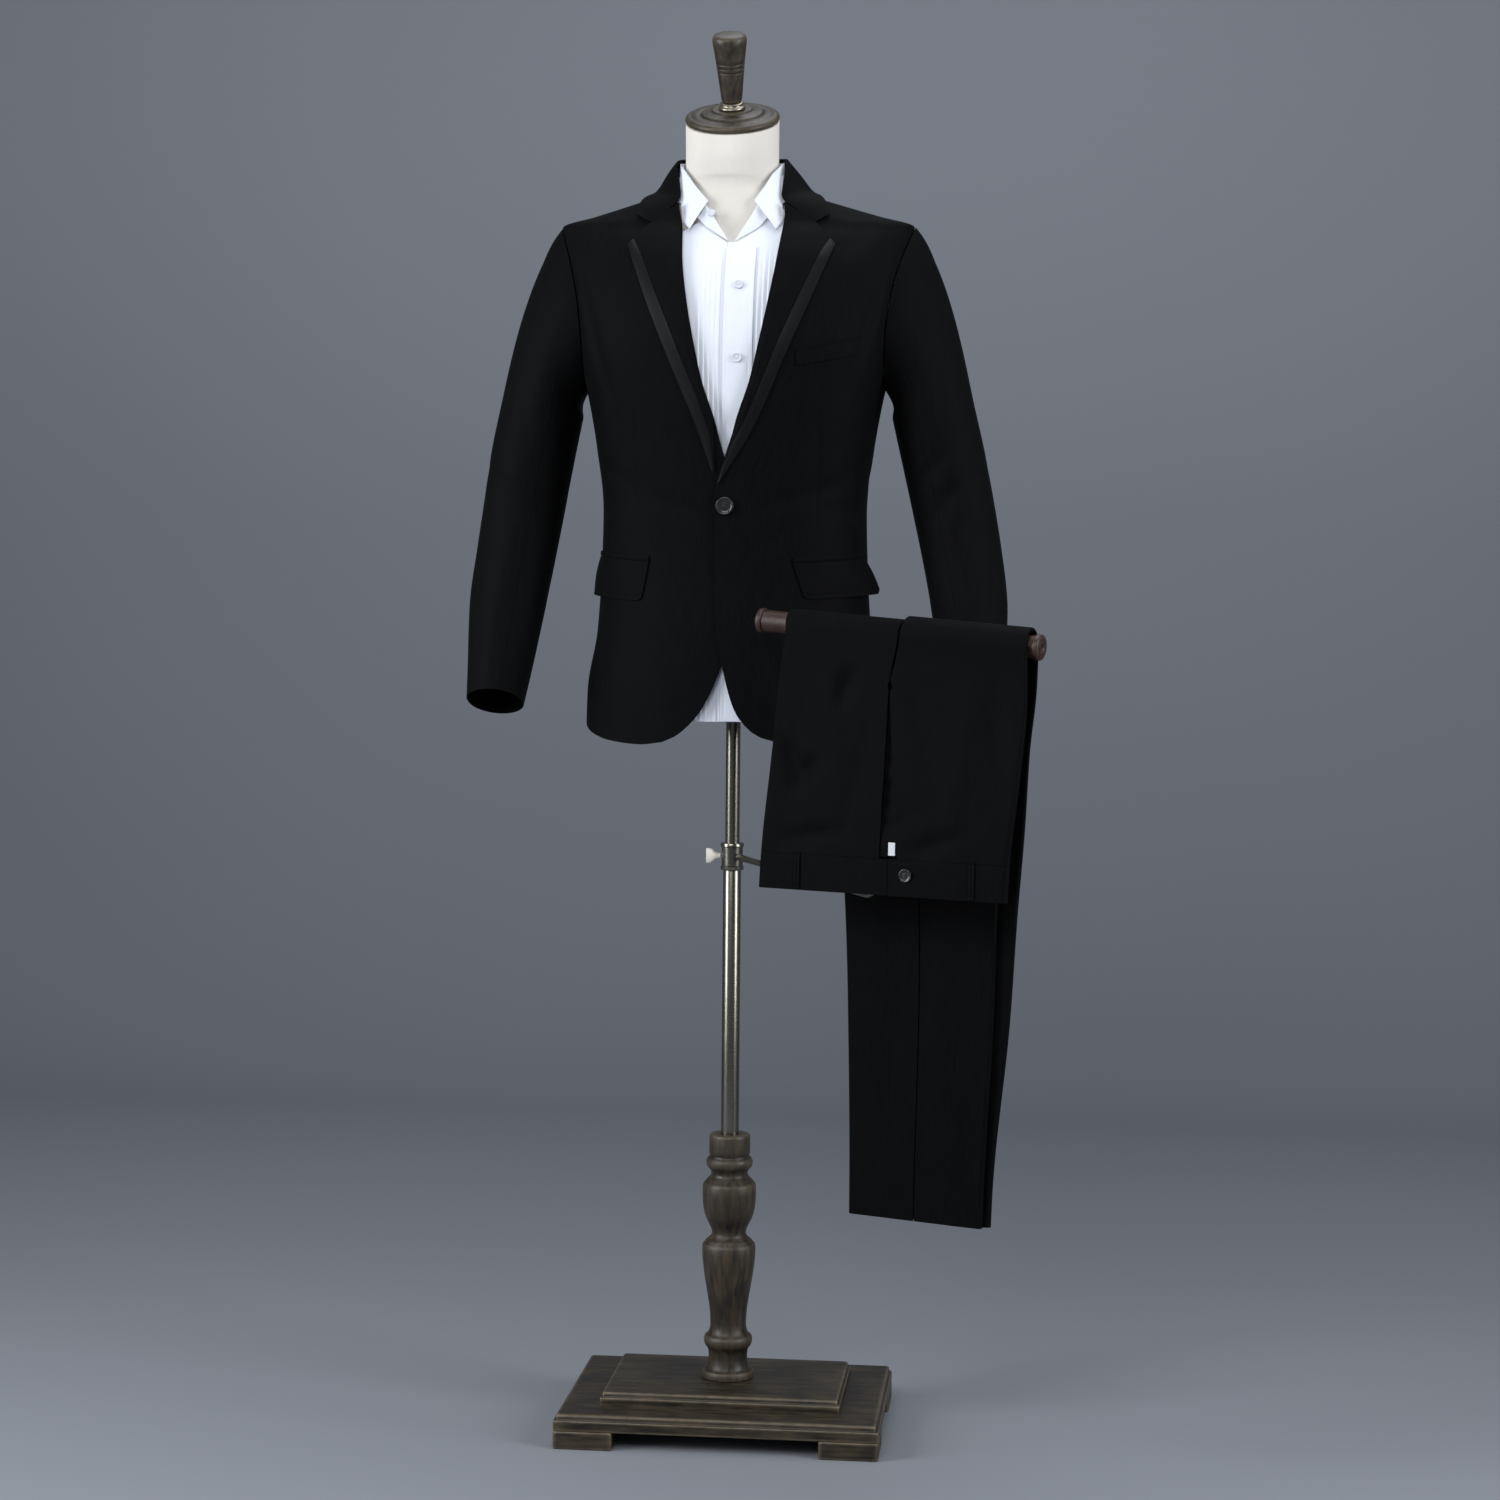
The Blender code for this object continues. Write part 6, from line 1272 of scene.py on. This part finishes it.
LEGS = (("right", INNER_LEG, False), ("left", OUTER_LEG, True))
for label, table, mirrored in LEGS:
    leg_panel(label, table, True, mirrored)
    leg_panel(label, table, False, mirrored)

# Waistband, fly and loops: a faced band of the same wool with five belt loops bar-tacked to it, a fly facing behind
# the closed front, a blank woven size label and one button on the inside of the band.

for label, table, mirrored in LEGS:
    lengths = np.linspace(-0.0005, BAND_HEIGHT - SEAM, 21)
    left, right, thick, base = leg_rows(table, lengths, mirrored)[:4]
    way = np.concatenate([np.linspace(2, 3, 41)[:-1], np.linspace(3, 4, 17)[:-1], np.linspace(4, 5, 41)])[None, :]
    meet = -0.0063 if mirrored else 0.0057
    line = 0.0004 * bell(BAND_HEIGHT - lengths[:, None] - 0.0015, 0.001)
    shells = [leg_shell(way, lengths, left, meet, thick, base, 0.0, inset, mirrored, sunk)
              for inset, sunk in ((0.0, line), (TROUSER_WALL + 0.0002, 0.0))]
    band = closed_wall(f"wool_waistband_{label}", *shells, wool, f"waistband_{label}", "black_wool")


def hung_cloth(name, lengths, s, outer, inner, material, replaced, slot):
    """A cloth piece on the trousers' fold between two distances off its inner face."""
    return closed_wall(name, on_fold(lengths, s, outer), on_fold(lengths, s, inner), material, replaced, slot)


lengths, share = np.linspace(BAND_HEIGHT + 0.002, 0.222, 50)[:, None], unit(21)
left, thick, base = leg_rows(INNER_LEG, lengths[:, 0], False)[1:4]
right = leg_rows(OUTER_LEG, lengths[:, 0], False)[0]
s = left - 0.008 + (right - left + 0.016) * share
sunk = np.sin(np.pi * share) * smooth((lengths - 0.060) / 0.04)
waves = 0.0007 * np.sin(lengths * 260) - 0.0005 * np.sin(lengths * 147)
off = base + thick - TROUSER_WALL - SEAM - sunk * (0.45 * thick + waves)
fly = hung_cloth("wool_fly", lengths, s, off, off - 0.0012, wool, "fly", "black_wool")
label_cloth = woven("white_label_ribbon", "#c9ccd2", "#e3e6ea", 0.0006, 0.5, 0.08, 300.0)
s, lengths = grid(np.linspace(0.0060, 0.0145, 12), np.linspace(0.046, 0.061, 16))
low = float(through(INNER_LEG, 0.05)[2]) + FOLD_GAP - TROUSER_WALL
size_label = hung_cloth("blank_size_label", lengths, s, low + 0.0009, low + 0.0003, label_cloth, "size_label",
                        "white_cotton")
for kind, places in (("front", (-0.112, 0.110)), ("back", (-0.085, 0.0, 0.085))):
    for i, middle in enumerate(places):
        s, lengths = grid(np.linspace(middle - 0.005, middle + 0.005, 13), np.linspace(0.001, 0.044, 40))
        tack = bell(lengths - 0.004, 0.0016) + bell(lengths - 0.0405, 0.0016)
        ribs = 0.00025 * np.cos(2 * math.pi * (s - middle) / 0.005)
        if kind == "front":
            low = FOLD_GAP + through(INNER_LEG, lengths)[..., 2] + SEAM
            high = low + 0.0012 + ribs - 0.0005 * tack
        else:
            high = 0.0001 - SEAM
            low = high - 0.00095 - ribs + 0.0004 * tack
        loop = hung_cloth(f"wool_belt_loop_{kind}_{i + 1}", lengths, s, high, low, wool, f"belt_loop_{kind}_{i + 1}",
                          "black_wool")
button_places = (on_fold(0.024, 0.029, FOLD_GAP + WAIST_THICKNESS + SEAM + rise) for rise in (0.0, 0.001))
sewn_button("horn_waist_button", *button_places, 0.0080, 0.0024, horn, black_thread, "waist_button", "black_button")

# Studio: a pale floor that curves up into its backdrop, its colour painted darker towards the back and lighter up the
# backdrop as painted light falloff, lit by large soft lights from both sides, a weaker one near the camera and one from
# above.

FLOOR_GREY, SWEEP = "#b9bfc9", 1.2
paper, tree = finish("matt_studio_paper_painted_falloff", Roughness=0.9, Specular_IOR_Level=0.2)
place = add(tree, "TexCoord", {}).outputs["Object"]
tone = spread(tree, noise(tree, place, 0.7, 2.0), 0.97, 1.03)
where = add(tree, "SeparateXYZ", {0: place}).outputs
# Painted light falloff: the paper's colour is painted darker towards the back of the floor and lighter again higher up
# the backdrop, in place of how the soft lights fall off; only the small noise tone is the paper's own.
depth = spread(tree, where[1], 0.58, 0.33, -1.9, 1.2, interpolation_type="SMOOTHSTEP")
rise = spread(tree, where[2], 0.0, 0.19, 0.0, 2.6, interpolation_type="SMOOTHSTEP")
painted_falloff = add(tree, "Math", {0: depth, 1: rise}, operation="ADD").outputs[0]
shade = add(tree, "Math", {0: painted_falloff, 1: tone}, operation="MULTIPLY").outputs[0]
tint = mixed(tree, 1.0, linear(FLOOR_GREY), shade, blend_type="MULTIPLY")
tree.links.new(tint, paper.node_tree.nodes["Principled BSDF"].inputs["Base Color"])
turn = np.radians(np.linspace(0, 90, 24))
curve = np.stack([2.2 + SWEEP * np.sin(turn), SWEEP - SWEEP * np.cos(turn)], -1)
sweep = np.concatenate([[(-6.0, 0.0)], curve, [(2.2 + SWEEP, 5.0)]])
x = np.linspace(-5.0, 5.0, 11)
points = np.stack([x + 0 * sweep[:, :1], sweep[:, :1] + 0 * x, sweep[:, 1:] + 0 * x], -1)
first = (np.arange(len(sweep) - 1)[:, None] * len(x) + np.arange(len(x) - 1)).ravel()
backdrop_faces = np.stack([first, first + 1, first + len(x) + 1, first + len(x)], -1)
put_in("studio_backdrop", points, backdrop_faces, paper, moved=False)


def soft_light(name, place, aim, width, height, power, colour):
    """A soft rectangular light at a place, turned towards a point."""
    lamp = bpy.data.lights.new(name, "AREA")
    lamp.shape, lamp.size, lamp.size_y, lamp.energy, lamp.color = "RECTANGLE", width, height, power, linear(colour)[:3]
    thing = bpy.data.objects.new(name, lamp)
    thing.location = place
    thing.rotation_euler = (Vector(aim) - Vector(place)).to_track_quat("-Z", "Y").to_euler()
    bpy.context.scene.collection.objects.link(thing)


soft_light("left soft box", (-2.6, -1.4, 1.7), (0.0, 0.0, 1.0), 1.2, 2.2, 84.0, "#fbfcff")
soft_light("right soft box", (2.8, -1.2, 1.8), (0.0, 0.0, 1.0), 1.2, 2.2, 76.0, "#fbfcff")
soft_light("front soft box", (-0.6, -3.4, 2.9), (0.0, 0.0, 0.9), 1.8, 1.2, 54.0, "#ffffff")
soft_light("top soft box", (0.2, 0.3, 3.6), (0.0, 0.0, 0.0), 2.2, 2.0, 48.0, "#f6f9ff")
world = bpy.data.worlds.new("studio")
bpy.context.scene.world = world
world.use_nodes = True
world.node_tree.nodes["Background"].inputs[0].default_value = linear("#c5cad3")
world.node_tree.nodes["Background"].inputs[1].default_value = 0.25

CAMERA_PLACE, FOCAL_LENGTH = (0.38042, -3.62605, 1.0939), 72.15
yaw, pitch, roll = -0.106, -0.064, 0.009
ahead = Vector((math.sin(yaw) * math.cos(pitch), math.cos(yaw) * math.cos(pitch), math.sin(pitch)))
level = Vector((math.cos(yaw), -math.sin(yaw), 0.0))
above = level.cross(ahead)
right = level * math.cos(roll) + above * math.sin(roll)
above = above * math.cos(roll) - level * math.sin(roll)
lens = bpy.data.cameras.new("studio camera")
lens.lens, lens.sensor_width, lens.shift_x = FOCAL_LENGTH, 36.0, 0.0031
camera = bpy.data.objects.new("studio camera", lens)
camera.matrix_world = Matrix((right, above, -ahead)).transposed().to_4x4()
camera.location = CAMERA_PLACE
bpy.context.scene.collection.objects.link(camera)
bpy.context.scene.camera = camera

bpy.context.scene.view_settings.view_transform = "Standard"
